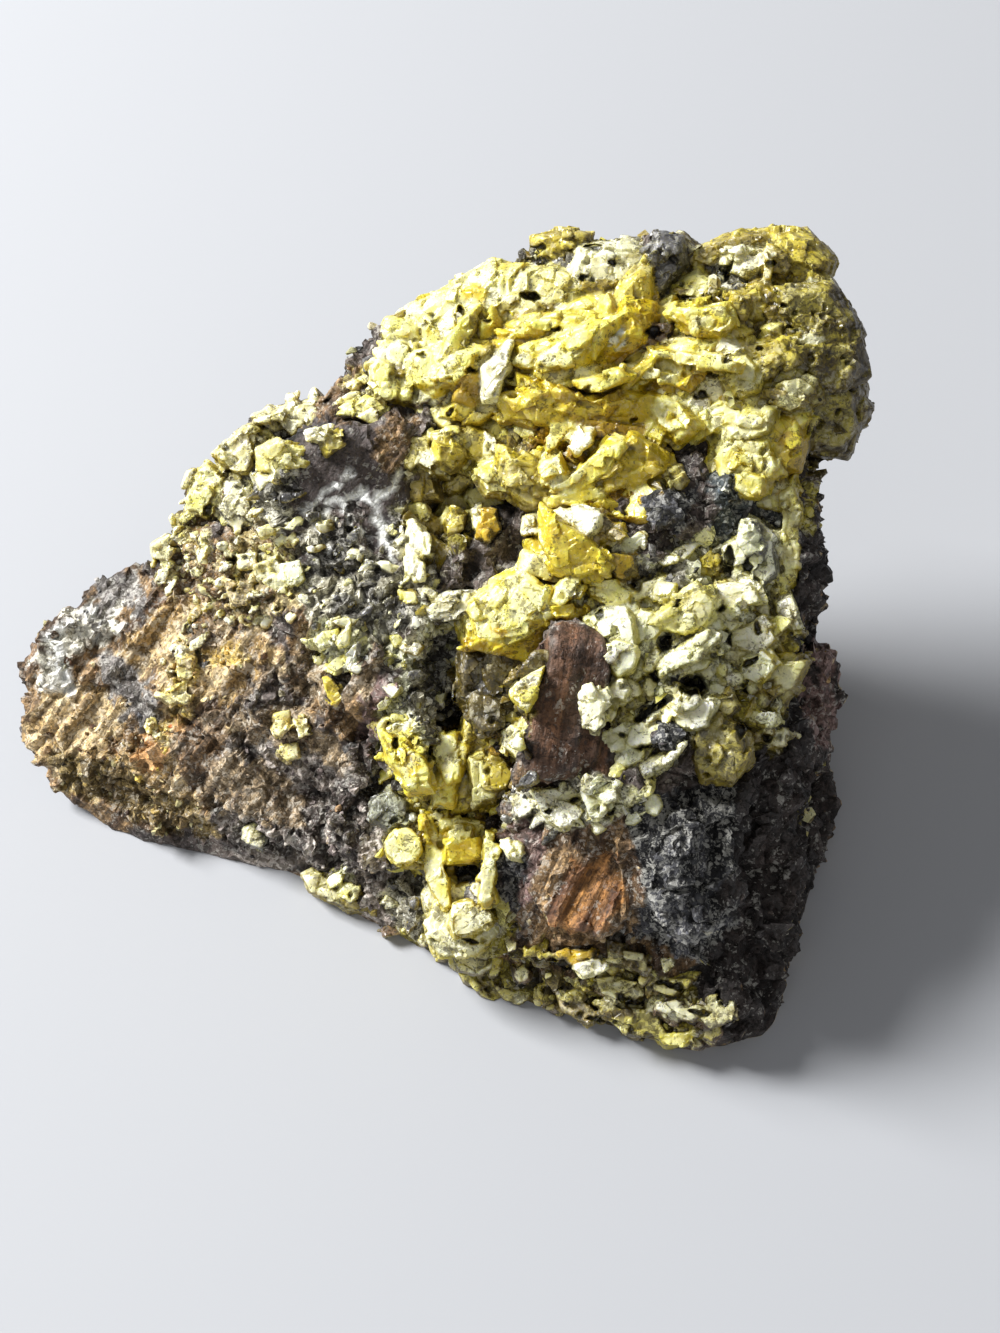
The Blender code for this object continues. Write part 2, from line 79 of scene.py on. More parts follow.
def scrambled(h):
    h ^= h >> np.uint32(13)
    h *= np.uint32(0x5BD1E995)
    h ^= h >> np.uint32(15)
    h *= np.uint32(0x27D4EB2D)
    h ^= h >> np.uint32(16)
    return h * (1 / 4294967296.0)


def vnoise(p, seed):
    i = np.floor(p)
    f = p - i
    w = f * f * f * (f * (f * 6 - 15) + 10)
    hx, hy, hz = neighbours(i, (0, 1))
    hx = [h ^ seeded(seed) for h in hx]
    sides = [(1 - w[:, axis], w[:, axis]) for axis in range(3)]
    out = np.zeros(len(p))
    for dx in (0, 1):
        for dy in (0, 1):
            k, h = sides[0][dx] * sides[1][dy], hx[dx] ^ hy[dy]
            for dz in (0, 1):
                out += k * sides[2][dz] * scrambled(h ^ hz[dz])
    return out * 2 - 1


def fbm(p, size, seed, octaves=4, gain=0.5):
    q = p / size
    total, amp = np.zeros(len(p)), 1.0
    for k in range(octaves):
        total += amp * vnoise(q + 17.3 * k, seed + k)
        q = q * 2.03
        amp *= gain
    return total


def cells(p, size, seed):
    """Voronoi cells: distance to the nearest two seeds, the cell's random number, and the offset from its seed."""
    q = p / size
    i = np.floor(q)
    best = np.full(len(q), 9.0)
    second = np.full(len(q), 9.0)
    nearest = np.zeros(len(q), dtype=np.uint32)
    away = np.zeros_like(q)
    steps = (-1, 0, 1)
    hx, hy, hz = neighbours(i, steps)
    f = q - i
    for a, dx in enumerate(steps):
        for b, dy in enumerate(steps):
            h = hx[a] ^ hy[b]
            for c, dz in enumerate(steps):
                base = h ^ hz[c]
                x = f[:, 0] - dx - scrambled(base ^ seeded(seed))
                y = f[:, 1] - dy - scrambled(base ^ seeded(seed + 1))
                z = f[:, 2] - dz - scrambled(base ^ seeded(seed + 2))
                r = np.sqrt(x * x + y * y + z * z)
                closer = r < best
                second = np.where(closer, best, np.minimum(second, r))
                best = np.where(closer, r, best)
                nearest = np.where(closer, base, nearest)
                away[closer] = np.stack([x[closer], y[closer], z[closer]], axis=1)
    return best, second, scrambled(nearest ^ seeded(seed + 3)), away * size


def facets(p, size, seed):
    """Broken planes: each cell slopes its own way. In units of the cell size, about -0.5 to 0.5."""
    _, _, number, away = cells(p, size, seed)
    a = number * 6.2832 * 7.0
    b = number * 37.0 % 1.0 * 2 - 1
    s = np.sqrt(np.maximum(0, 1 - b * b))
    slope = np.stack([np.cos(a) * s, np.sin(a) * s, b], axis=1)
    return (away * slope).sum(1) / size


def smooth(x, lo, hi):
    t = np.clip((x - lo) / (hi - lo), 0, 1)
    return t * t * (3 - 2 * t)


# ---------------------------------------------------------------- layout of the display face

def layout(p):
    """Where points (mm, layout frame) are seen on the display face, in the 1000 by 1333 drawing."""
    d = p - nE
    depth = d @ nF
    return 500 + d @ nR / depth * EYE_SCALE * 10, 666.5 - d @ nU / depth * EYE_SCALE * 10


def sight(x, y):
    return (FORWARD * EYE_SCALE + RIGHT * ((x - 500) / 10) + UP * ((666.5 - y) / 10)).normalized()


# ---------------------------------------------------------------- meshes

def get_co(mesh):
    a = np.empty(len(mesh.vertices) * 3)
    mesh.vertices.foreach_get("co", a)
    return a.reshape(-1, 3)


def set_co(mesh, co):
    mesh.vertices.foreach_set("co", co.astype(np.float32).ravel())
    mesh.update()


def get_no(mesh):
    a = np.empty(len(mesh.vertices) * 3)
    mesh.vertices.foreach_get("normal", a)
    return a.reshape(-1, 3)


def edges_of(mesh):
    a = np.empty(len(mesh.edges) * 2, dtype=np.int32)
    mesh.edges.foreach_get("vertices", a)
    return a.reshape(-1, 2)


def neighbour_mean(values, edges, count):
    a, b = edges[:, 0], edges[:, 1]
    flat = values.reshape(count, -1)
    number = np.maximum(np.bincount(edges.ravel(), minlength=count), 1)
    total = [(np.bincount(a, column[b], count) + np.bincount(b, column[a], count)) / number for column in flat.T]
    return np.stack(total, axis=1).reshape(values.shape)


def stand(co, no, edges, rounds):
    """How far each point stands above (+) or sits below (-) the surface round it, in mm."""
    mean = co.copy()
    for _ in range(rounds):
        mean = neighbour_mean(mean, edges, len(co))
    return ((co - mean) * no).sum(1)


def object_from(mesh, name):
    obj = bpy.data.objects.new(name, mesh)
    bpy.context.scene.collection.objects.link(obj)
    return obj


def evaluated(obj, name):
    bpy.context.view_layer.update()
    graph = bpy.context.evaluated_depsgraph_get()
    mesh = bpy.data.meshes.new_from_object(obj.evaluated_get(graph))
    mesh.name = name
    return mesh


def apply_all(obj):
    mesh = evaluated(obj, obj.name)
    obj.modifiers.clear()
    old = obj.data
    obj.data = mesh
    bpy.data.meshes.remove(old)


def remesh(obj, voxel):
    m = obj.modifiers.new("voxels", "REMESH")
    m.mode = "VOXEL"
    m.voxel_size = voxel
    apply_all(obj)


def decimate(obj, triangles):
    count = sum(obj.data.polygons[i].loop_total - 2 for i in range(len(obj.data.polygons)))
    if count <= triangles:
        return
    m = obj.modifiers.new("thin", "DECIMATE")
    m.ratio = triangles / count
    m.use_collapse_triangulate = True
    apply_all(obj)


def hull_mesh(points, name):
    bm = bmesh.new()
    for p in points:
        bm.verts.new(p)
    made = bmesh.ops.convex_hull(bm, input=bm.verts)
    unused = {v for v in made["geom_interior"] + made["geom_unused"] if isinstance(v, bmesh.types.BMVert)}
    bmesh.ops.delete(bm, geom=list(unused), context="VERTS")
    bmesh.ops.recalc_face_normals(bm, faces=bm.faces)
    mesh = bpy.data.meshes.new(name)
    bm.to_mesh(mesh)
    bm.free()
    return mesh


def largest_shell(obj):
    bm = bmesh.new()
    bm.from_mesh(obj.data)
    bm.verts.ensure_lookup_table()
    seen = [False] * len(bm.verts)
    shells = []
    for v in bm.verts:
        if seen[v.index]:
            continue
        stack, shell = [v], []
        seen[v.index] = True
        while stack:
            c = stack.pop()
            shell.append(c)
            for e in c.link_edges:
                o = e.other_vert(c)
                if not seen[o.index]:
                    seen[o.index] = True
                    stack.append(o)
        shells.append(shell)
    shells.sort(key=len, reverse=True)
    loose = [v for s in shells[1:] for v in s]
    if loose:
        bmesh.ops.delete(bm, geom=loose, context="VERTS")
        bm.to_mesh(obj.data)
    bm.free()


def set_colour(mesh, name, rgb):
    layer = mesh.color_attributes.new(name, "FLOAT_COLOR", "POINT")
    data = np.ones((len(mesh.vertices), 4), dtype=np.float32)
    data[:, :3] = np.clip(rgb, 0, 1)
    layer.data.foreach_set("color", data.ravel())


def set_value(mesh, name, value):
    layer = mesh.attributes.new(name, "FLOAT", "POINT")
    layer.data.foreach_set("value", np.asarray(value, dtype=np.float32))


def set_vector(mesh, name, value):
    layer = mesh.attributes.new(name, "FLOAT_VECTOR", "POINT")
    layer.data.foreach_set("vector", np.asarray(value, dtype=np.float32).ravel())


def finished(obj, material, angle=None):
    """From layout millimetres to frame metres, shaded."""
    mesh = obj.data
    set_co(mesh, (get_co(mesh) + SHIFT) * MM)
    mesh.materials.clear()
    mesh.materials.append(material)
    mesh.shade_smooth()
    if angle is not None:
        mesh.set_sharp_from_angle(angle=math.radians(angle))
    return obj


# ---------------------------------------------------------------- the rock's rough form, as the frame has it

MAIN_CORNERS = [
    (28, 16, 46), (18, 19, 48), (4, 20, 46), (-9, 14, 39), (-28, 8, 28), (-33, 2, 23),
    (26, 6, 20), (4, 10, 14), (-15, 8, 10), (-29, 0, 8),
    (29, -5, 35), (29, -17, 27), (22, -29, 23), (9, -31, 25), (-4, -28, 21), (-22, -12, 24), (-13, -22, 18),
    (19, -46, 0), (27, -44, -1), (35, -17, -1), (30, -4, -1), (10, 4, -1), (-14, 2, -1), (-29, -8, -1),
    (-27, -23, -1), (-8, -34, -1), (0, -40, -1), (22, -45, 6), (2, -39, 7),
]
BULGE_CORNERS = [
    (29, 16, 46), (33, 10, 43), (34, 6, 38), (34, 0, 35), (26, 0, 41), (18, 8, 45), (28, 3, 30), (30, 8, 30),
    (20, 14, 40), (22, 0, 34),
]
TAIL_CORNERS = [
    (-49, -6, 11), (-49, -9, 7), (-42, 0, 15), (-36, 0, 18), (-29, 0, 21), (-19, -8, 23), (-47, -18, 2),
    (-39, -22, -1), (-27, -24, -1), (-17, -28, -1), (-10, -27, 9), (-15, -19, 18), (-47, -12, 1), (-34, -4, 0),
    (-20, 0, -1),
]
RIM_CORNERS = [
    (29, -13, 29), (31, -14, 22), (32, -11, 18), (31, -8, 28), (28, -8, 33), (27, -16, 20), (32, -18, 15),
]
RELIEF = [
    (-7.0, 17.5, 7.0, 3.2, -10, -6.5), (-1.5, 13.0, 8.0, 5.0, 0, -4.0), (-4.0, -2.0, 5.0, 8.0, 12, -7.5),
    (-3.5, -12.0, 4.5, 9.0, 8, -6.0), (1.5, -9.5, 2.2, 5.0, -10, -4.5), (-4.0, -20.5, 3.2, 3.0, 0, -3.5),
    (-13.0, -8.0, 2.2, 9.0, 20, -4.0), (-19.0, 1.5, 9.0, 2.2, -38, -2.2), (6.5, -4.5, 3.8, 7.5, -8, 2.6),
    (15.0, 22.0, 6.0, 2.6, 30, -2.0), (3.0, 26.5, 7.0, 2.4, 20, -2.6), (2.0, 31.5, 10.0, 4.0, 10, 1.6),
    (-15.0, 18.0, 8.0, 6.0, 0, 0.8), (20.0, -2.0, 7.0, 9.0, 0, 1.2), (-36.0, 9.5, 3.0, 3.0, 0, -2.0),
    (27.5, 31.5, 5.0, 6.0, 0, 1.2), (31.0, 19.5, 2.6, 4.0, 0, -1.5), (7.0, -24.0, 7.0, 6.0, 0, 1.0),
    (18.5, -22.0, 6.0, 9.0, 0, 1.2), (-30.0, -3.0, 9.0, 7.0, 20, 1.4), (-17.0, -18.0, 8.0, 6.0, 30, -1.0),
]


def frame_facets(point, size, amount, shift):
    at = (point + shift) / size
    _, found = noise.voronoi(at, distance_metric="DISTANCE", exponent=2.5)
    cell = found[0]
    return (at - cell).dot(noise.noise_vector(cell * 7.31)) * amount


def bump(u, v, feature):
    cu, cv, half_w, half_h, turn, _ = feature
    angle = math.radians(turn)
    du, dv = u - cu, v - cv
    along = du * math.cos(angle) + dv * math.sin(angle)
    across = -du * math.sin(angle) + dv * math.cos(angle)
    inside = 1.0 - (along / half_w) ** 2 - (across / half_h) ** 2
    return 0.0 if inside <= 0.0 else min(1.0, inside * 1.6) ** 1.5


def rough_form():
    noise.seed_set(11)
    rock = object_from(hull_mesh(MAIN_CORNERS, "rock"), "rock")
    parts = []
    for name, corners in (("bulge", BULGE_CORNERS), ("tail", TAIL_CORNERS), ("rim", RIM_CORNERS)):
        part = object_from(hull_mesh(corners, name), name)
        parts.append(part)
        joined = rock.modifiers.new(name, "BOOLEAN")
        joined.operation = "UNION"
        joined.object = part
    remesh(rock, 1.1)
    for part in parts:
        bpy.data.objects.remove(part, do_unlink=True)
    mesh = rock.data
    moved = []
    for vertex in mesh.vertices:
        point, normal = vertex.co.copy(), vertex.normal.copy()
        away = point - EYE
        depth = away.dot(FORWARD)
        u, v = away.dot(RIGHT) / depth * EYE_SCALE, away.dot(UP) / depth * EYE_SCALE
        towards = (EYE - point).normalized()
        facing = max(0.0, min(1.0, (normal.dot(towards) - 0.05) / 0.35))
        point = point + towards * (sum(bump(u, v, f) * f[5] for f in RELIEF) * facing)
        broken = frame_facets(point, 11.0, 3.4, Vector((3.0, 1.0, 7.0)))
        broken += frame_facets(point, 5.0, 1.3, Vector((11.0, 5.0, 2.0)))
        grain = noise.fractal(point * 0.16 + Vector((5.0, 9.0, 1.0)), 0.7, 2.0, 4) * 0.9
        reach = min(1.0, max(0.0, (point.z - 0.5) / 3.0))
        moved.append(point + normal * (broken + grain) * (0.25 + 0.75 * reach))
    set_co(mesh, np.array([tuple(p) for p in moved]))
    return rock


# ---------------------------------------------------------------- crystals
# Outlines are drawn on enlarged sheets of the display face: sheet name -> (left, top, enlargement).

SHEETS = {"A": (380, 220, 3.136), "B": (380, 480, 3.136), "C": (380, 740, 3.2667), "D": (10, 400, 3.5636),
          "E": (10, 560, 3.5636), "P": (0, 0, 1.0)}

# group, sheet, outline, lift above the rock (mm), depth below it (mm), lean right and up, face tone (painted light: its
# colour on faces turned to the light), side tone (painted shade: its colour on faces turned from it)
LUMPS = [
    # crown
    ("crown", "A", [(110, 300), (150, 270), (250, 215), (330, 170), (420, 180), (405, 250), (370, 330), (300, 375), (180, 372)], 1.3, 4, (-0.25, 0.25), "lemonpale", "gold"),
    ("crown", "A", [(500, 60), (560, 40), (640, 50), (630, 90), (560, 122), (500, 112)], 0.9, 4, (-0.1, -0.1), "oliveyel", "olive"),
    ("crown", "A", [(440, 180), (560, 150), (640, 200), (600, 255), (480, 330), (385, 350), (375, 280)], 1.5, 4, (-0.15, 0.2), "olivepale", "olive"),
    ("crown", "A", [(640, 100), (760, 80), (860, 125), (800, 180), (700, 205), (620, 190)], 1.0, 4, (0.05, 0.25), "palegrit", "greyrock"),
    ("crown", "A", [(600, 200), (700, 190), (800, 215), (790, 262), (690, 265), (600, 258)], 1.1, 4, (0.0, 0.1), "olivepale", "olive"),
    ("crown", "A", [(865, 65), (930, 75), (945, 140), (880, 225), (805, 190), (830, 120)], 1.4, 4, (0.1, -0.05), "greyrock", "darkrock"),
    ("crown", "A", [(385, 360), (470, 330), (560, 275), (640, 255), (740, 260), (790, 282), (740, 305), (640, 345), (540, 365), (440, 385)], 2.3, 3.5, (-0.2, -0.25), "lemon", "gold"),
    ("crown", "A", [(430, 410), (520, 385), (640, 335), (710, 325), (690, 380), (640, 445), (560, 475), (450, 470)], 2.6, 3.5, (-0.3, 0.12), "lemon", "gold"),
    ("crown", "A", [(430, 465), (560, 470), (680, 430), (745, 505), (720, 545), (610, 560), (545, 585), (490, 560), (440, 520)], 3.0, 3.5, (-0.12, -0.05), "lemonfrost", "gold"),
    ("crown", "A", [(325, 465), (380, 398), (405, 402), (398, 470), (370, 545), (335, 545)], 2.6, 3, (-0.35, 0.3), "white", "cream"),
    ("crown", "A", [(372, 560), (396, 495), (440, 508), (452, 530), (420, 575)], 2.4, 3, (-0.3, 0.2), "white", "cream"),
    ("crown", "A", [(105, 440), (200, 405), (300, 398), (335, 420), (300, 470), (250, 500), (185, 530), (115, 500)], 1.6, 3.5, (-0.2, 0.2), "lemonpale", "gold"),
    ("crown", "A", [(260, 490), (325, 480), (335, 555), (290, 592), (240, 560)], 1.3, 3.5, (0.3, -0.5), "amber", "amber"),
    ("crown", "A", [(700, 362), (755, 345), (785, 385), (745, 412), (700, 402)], 2.9, 3, (-0.1, 0.2), "paleblue", "gold"),
    ("crown", "A", [(768, 282), (842, 290), (848, 345), (800, 402), (750, 440), (700, 470), (690, 410), (760, 390)], 1.5, 3.5, (0.35, -0.1), "gold", "amber"),
    ("crown", "A", [(845, 330), (912, 335), (905, 395), (830, 405)], 0.6, 3, (0.1, -0.2), "brown", "brown"),
    ("crown", "A", [(0, 420), (60, 380), (110, 400), (120, 470), (90, 560), (10, 570), (-20, 490)], 1.3, 3.5, (-0.25, 0.25), "lemonpale", "olive"),
    ("crown", "A", [(120, 520), (200, 525), (250, 560), (200, 590), (110, 575)], 0.9, 3, (-0.1, -0.2), "palegrit", "brown"),
    ("crown", "A", [(380, 350), (430, 380), (530, 345), (570, 365), (440, 405), (385, 395)], 1.2, 3, (0.1, -0.5), "gold", "amber"),
    # crest and the overhanging bulge
    ("crest", "A", [(905, 200), (990, 165), (1045, 200), (1000, 250), (950, 262), (900, 240)], 1.3, 4, (-0.25, 0.2), "lemonpale", "olive"),
    ("crest", "A", [(945, 130), (1000, 95), (1090, 55), (1190, 40), (1215, 62), (1100, 95), (1010, 152)], 0.3, 4, (0.0, 0.1), "oliveyel", "olive"),
    ("crest", "A", [(1090, 85), (1200, 78), (1210, 140), (1150, 175), (1080, 150)], 1.5, 4, (-0.2, 0.25), "creamgrit", "palegrit"),
    ("crest", "A", [(1212, 88), (1234, 90), (1228, 190), (1200, 192)], 2.2, 3, (-0.3, 0.0), "cream", "gold"),
    ("crest", "A", [(1235, 60), (1330, 58), (1400, 130), (1360, 215), (1250, 215), (1232, 140)], 1.2, 4.5, (0.1, 0.1), "oliveyel", "olive"),
    ("crest", "A", [(925, 300), (950, 280), (1080, 275), (1092, 325), (1055, 362), (990, 352)], 2.4, 3.5, (-0.2, -0.1), "lemon", "gold"),
    ("crest", "A", [(1090, 235), (1175, 228), (1200, 295), (1168, 362), (1098, 350), (1085, 290)], 1.7, 3.5, (0.05, -0.1), "oliveyel", "olive"),
    ("crest", "A", [(1178, 215), (1262, 215), (1272, 345), (1190, 372)], 0.8, 3.5, (0.1, -0.2), "olive", "brownolive"),
    ("crest", "A", [(1272, 235), (1400, 220), (1472, 320), (1445, 395), (1330, 375), (1268, 300)], 1.2, 4.5, (0.3, 0.05), "olivegrit", "brownolive"),
    ("crest", "A", [(1100, 435), (1140, 385), (1262, 385), (1285, 440), (1205, 505), (1150, 470)], 1.5, 3.5, (0.0, -0.1), "oliveyel", "olive"),
    ("crest", "A", [(1085, 430), (1150, 425), (1188, 470), (1180, 530), (1110, 545), (1080, 490)], 1.9, 3.5, (-0.15, 0.2), "olivepale", "oliveyel"),
    ("crest", "A", [(1200, 475), (1290, 455), (1368, 500), (1370, 560), (1290, 600), (1205, 560)], 1.6, 3.5, (0.0, 0.1), "olivepale", "olive"),
    ("crest", "A", [(1290, 395), (1480, 375), (1500, 480), (1420, 530), (1330, 500)], 1.0, 4.5, (0.35, 0.0), "olivegrit", "brownolive"),
    ("crest", "A", [(1380, 525), (1495, 540), (1500, 610), (1455, 715), (1372, 705), (1335, 620)], 0.8, 4.5, (0.4, -0.2), "olivegrit", "brownolive"),
    ("crest", "A", [(1218, 640), (1290, 635), (1322, 690), (1302, 765), (1250, 785), (1210, 730)], 2.0, 3.5, (0.1, 0.0), "gold", "amber"),
    ("crest", "A", [(1090, 620), (1160, 590), (1225, 600), (1215, 660), (1150, 690), (1085, 680)], 1.6, 3.5, (-0.2, 0.15), "lemonpale", "oliveyel"),
    ("crest", "A", [(1060, 700), (1140, 690), (1210, 700), (1245, 790), (1160, 850), (1075, 820)], 1.8, 3.5, (-0.15, 0.0), "lemonfrost", "gold"),
    ("crest", "A", [(1075, 830), (1150, 855), (1250, 800), (1290, 850), (1230, 900), (1165, 895)], 1.2, 3.5, (-0.1, -0.2), "creamgrit", "gold"),
    ("crest", "A", [(990, 480), (1060, 500), (1090, 560), (1040, 620), (985, 590)], 1.0, 3.5, (-0.1, 0.0), "creamgrit", "olive"),
    ("crest", "A", [(1050, 395), (1090, 370), (1130, 400), (1095, 440), (1050, 440)], 1.4, 3, (-0.25, 0.2), "cream", "palegrit"),
    # golden blades
    ("blade", "A", [(750, 500), (830, 432), (950, 390), (1042, 388), (1045, 440), (950, 475), (870, 485), (790, 532), (755, 535)], 2.2, 3.5, (-0.2, 0.1), "lemonfrost", "gold"),
    ("blade", "A", [(690, 405), (780, 410), (750, 470), (700, 470)], 0.8, 3, (0.2, -0.3), "gold", "amber"),
    ("blade", "A", [(870, 500), (950, 480), (1020, 440), (1030, 480), (960, 530), (900, 560)], 1.4, 3, (0.2, -0.3), "gold", "amber"),
    ("blade", "A", [(440, 560), (560, 582), (640, 560), (745, 555), (855, 560), (872, 620), (800, 700), (700, 705), (600, 650), (470, 625)], 1.2, 3.5, (0.05, -0.35), "gold", "amber"),
    ("blade", "A", [(840, 560), (900, 560), (960, 600), (1000, 640), (930, 690), (880, 650)], 1.5, 3.5, (-0.2, 0.1), "lemonfrost", "gold"),
    ("blade", "A", [(600, 705), (630, 650), (665, 660), (660, 700), (620, 732)], 2.2, 3, (-0.3, 0.2), "cream", "gold"),
    ("blade", "A", [(495, 775), (560, 740), (585, 790), (560, 822), (515, 832)], 2.3, 3, (-0.25, 0.1), "lemonpale", "gold"),
    ("blade", "A", [(565, 835), (640, 785), (715, 698), (765, 718), (705, 800), (640, 852), (590, 856)], 2.9, 3, (-0.25, -0.05), "lemon", "gold"),
    ("blade", "A", [(745, 700), (800, 698), (880, 740), (900, 790), (845, 822), (720, 832), (690, 812), (740, 760)], 2.0, 3.5, (0.2, -0.3), "gold", "gold"),
    ("blade", "A", [(500, 830), (600, 868), (565, 900), (455, 885), (380, 820), (400, 740), (485, 765)], 1.6, 3.5, (-0.05, -0.2), "oliveyel", "olive"),
    ("blade", "A", [(530, 870), (640, 860), (720, 835), (700, 880), (600, 910), (540, 905)], 1.5, 3, (0.05, -0.4), "lemon", "gold"),
    ("blade", "A", [(860, 785), (938, 780), (950, 832), (900, 872), (868, 842)], 1.2, 3, (0.1, -0.1), "olivepale", "olive"),
    # ledge
    ("ledge", "A", [(108, 745), (160, 695), (205, 735), (215, 802), (120, 795)], 2.0, 3.5, (-0.25, 0.2), "palegrit", "olive"),
    ("ledge", "A", [(185, 668), (260, 655), (325, 665), (350, 722), (320, 755), (280, 792), (205, 755)], 2.4, 3.5, (0.0, 0.0), "oliveyel", "olive"),
    ("ledge", "A", [(300, 785), (385, 748), (440, 830), (400, 856), (340, 856)], 2.2, 3, (-0.15, 0.1), "lemonfrost", "olive"),
    ("ledge", "A", [(330, 660), (380, 720), (430, 745), (380, 760), (330, 740)], 1.8, 3, (-0.2, 0.2), "palegrit", "olive"),
    # heart
    ("heart", "B", [(555, 100), (620, 88), (692, 108), (670, 160), (632, 178), (570, 168)], 3.2, 3, (-0.25, 0.25), "white", "cream"),
    ("heart", "B", [(520, 95), (560, 160), (640, 180), (720, 240), (722, 290), (625, 302), (545, 275), (515, 190)], 2.6, 3.5, (0.0, -0.15), "gold", "gold"),
    ("heart", "B", [(690, 100), (760, 140), (775, 180), (730, 222), (665, 200), (660, 165)], 2.2, 3.5, (0.1, 0.1), "tanpale", "gold"),
    ("heart", "B", [(728, 230), (800, 235), (805, 300), (760, 315), (725, 280)], 1.0, 3.5, (0.3, -0.1), "amber", "brownolive"),
    ("heart", "B", [(448, 115), (510, 100), (505, 168), (450, 168)], 2.0, 3, (-0.3, 0.2), "creamgrit", "gold"),
    ("heart", "B", [(585, 305), (625, 305), (618, 360), (570, 400), (540, 380), (560, 340)], 2.4, 3, (-0.25, 0.1), "lemonpale", "gold"),
    # cavity
    ("cavity", "B", [(165, 105), (235, 20), (290, 60), (250, 160), (160, 172)], 2.6, 4, (-0.1, 0.1), "oliveyel", "olive"),
    ("cavity", "B", [(288, 95), (318, 80), (312, 160), (288, 152)], 3.0, 3, (-0.35, 0.2), "white", "cream"),
    ("cavity", "B", [(318, 95), (362, 102), (378, 155), (340, 192), (305, 180)], 2.4, 4, (0.2, -0.1), "amber", "brownolive"),
    ("cavity", "B", [(92, 130), (140, 160), (152, 190), (140, 240), (122, 302), (75, 292), (82, 215)], 2.4, 4, (-0.3, 0.2), "cream", "creamgrit"),
    # wedge
    ("wedge", "B", [(250, 432), (300, 370), (400, 300), (458, 288), (462, 340), (540, 362), (560, 402), (520, 452), (450, 482), (380, 520), (285, 508)], 3.0, 4.5, (-0.18, 0.18), "lemonfrost", "gold"),
    ("wedge", "B", [(290, 515), (380, 520), (460, 478), (545, 430), (568, 460), (525, 545), (482, 582), (400, 555), (325, 538)], 1.9, 4.5, (0.1, -0.45), "gold", "amber"),
    ("wedge", "B", [(545, 385), (605, 390), (652, 400), (665, 432), (615, 455), (555, 450)], 1.6, 4, (0.2, -0.3), "gold", "amber"),
    ("wedge", "B", [(150, 400), (205, 352), (295, 350), (300, 378), (248, 432), (165, 442)], 1.8, 4, (-0.2, 0.2), "creamgrit", "greyrock"),
    # vein
    ("vein", "B", [(270, 545), (420, 560), (415, 640), (440, 720), (330, 765), (255, 680)], 0.6, 4, (0.1, -0.1), "olivedark", "olivedark"),
    ("vein", "B", [(272, 770), (340, 760), (372, 840), (405, 935), (345, 1015), (240, 1015), (245, 930), (278, 850)], 2.2, 4, (0.25, -0.15), "oliveyel", "olive"),
    ("vein", "B", [(150, 865), (200, 830), (278, 832), (250, 930), (228, 1005), (170, 1005), (160, 925)], 3.2, 4, (-0.3, 0.15), "lemonfrost", "gold"),
    ("vein", "B", [(15, 810), (80, 818), (140, 880), (152, 925), (160, 965), (90, 965), (35, 880)], 1.8, 4, (-0.2, 0.1), "lemon", "gold"),
    # block with its pillars
    ("block", "C", [(195, 262), (270, 248), (338, 270), (332, 320), (265, 330), (205, 322)], 2.8, 4, (0.0, 0.25), "lemonpale", "gold"),
    ("block", "C", [(205, 322), (265, 330), (335, 318), (335, 382), (285, 402), (205, 405)], 2.4, 4, (0.05, -0.3), "gold", "gold"),
    ("block", "C", [(128, 230), (165, 235), (185, 330), (200, 430), (238, 545), (205, 560), (165, 480), (145, 360)], 2.4, 4, (-0.3, 0.0), "lemonpale", "gold"),
    ("block", "C", [(345, 300), (375, 308), (382, 420), (362, 540), (325, 545), (338, 430)], 2.2, 4, (0.1, 0.1), "lemonpale", "gold"),
    ("block", "C", [(195, 400), (245, 400), (238, 445), (205, 450)], 1.2, 3, (0, -0.3), "gold", "amber"),
    # bead
    ("bead", "C", [(22, 330), (45, 292), (95, 280), (135, 310), (140, 360), (105, 402), (55, 408), (25, 375)], 2.6, 3.5, (-0.05, 0.05), "lemonpale", "gold"),
    # shards
    ("shard", "B", [(428, 640), (512, 590), (500, 655), (462, 722), (440, 712), (415, 670)], 2.6, 4, (-0.25, 0.15), "cream", "lemon"),
    ("shard", "B", [(378, 790), (468, 738), (460, 800), (442, 882), (385, 835)], 3.6, 4, (-0.25, 0.1), "cream", "lemonpale"),
    # right-hand crust
    ("crust", "B", [(620, 325), (700, 308), (792, 350), (780, 390), (720, 395), (660, 360)], 1.6, 3, (-0.15, 0.1), "lemonpale", "gold"),
    ("crust", "B", [(700, 400), (780, 390), (872, 430), (880, 485), (860, 560), (840, 622), (765, 652), (730, 600), (742, 520), (702, 450)], 1.7, 3.5, (-0.1, 0.1), "greenwhite", "olivepale"),
    ("crust", "B", [(820, 320), (905, 300), (925, 350), (885, 392), (820, 372)], 1.2, 3, (0.0, 0.15), "palegrit", "olivepale"),
    ("crust", "B", [(860, 432), (960, 362), (1032, 340), (1052, 400), (1010, 472), (940, 462), (900, 474)], 2.0, 3, (-0.05, -0.1), "olivepale", "lemonpale"),
    ("crust", "B", [(1058, 332), (1180, 328), (1195, 380), (1120, 402), (1066, 392)], 1.8, 3, (-0.15, 0.2), "cream", "lemonpale"),
    ("crust", "B", [(988, 252), (1042, 228), (1066, 290), (1012, 332), (978, 302)], 1.2, 3, (0.0, 0.1), "lemon", "oliveyel"),
    ("crust", "B", [(868, 572), (1020, 480), (1055, 500), (1005, 562), (890, 615)], 2.2, 3, (-0.2, 0.1), "greenwhite", "palegrit"),
    ("crust", "B", [(898, 712), (960, 668), (1045, 700), (1022, 772), (960, 782), (900, 752)], 2.0, 3, (-0.15, 0.2), "whitegrit", "palegrit"),
    ("crust", "B", [(1000, 790), (1060, 745), (1132, 788), (1155, 880), (1095, 945), (1020, 932), (978, 870)], 1.3, 3.5, (0.05, 0.0), "olivegrit", "olive"),
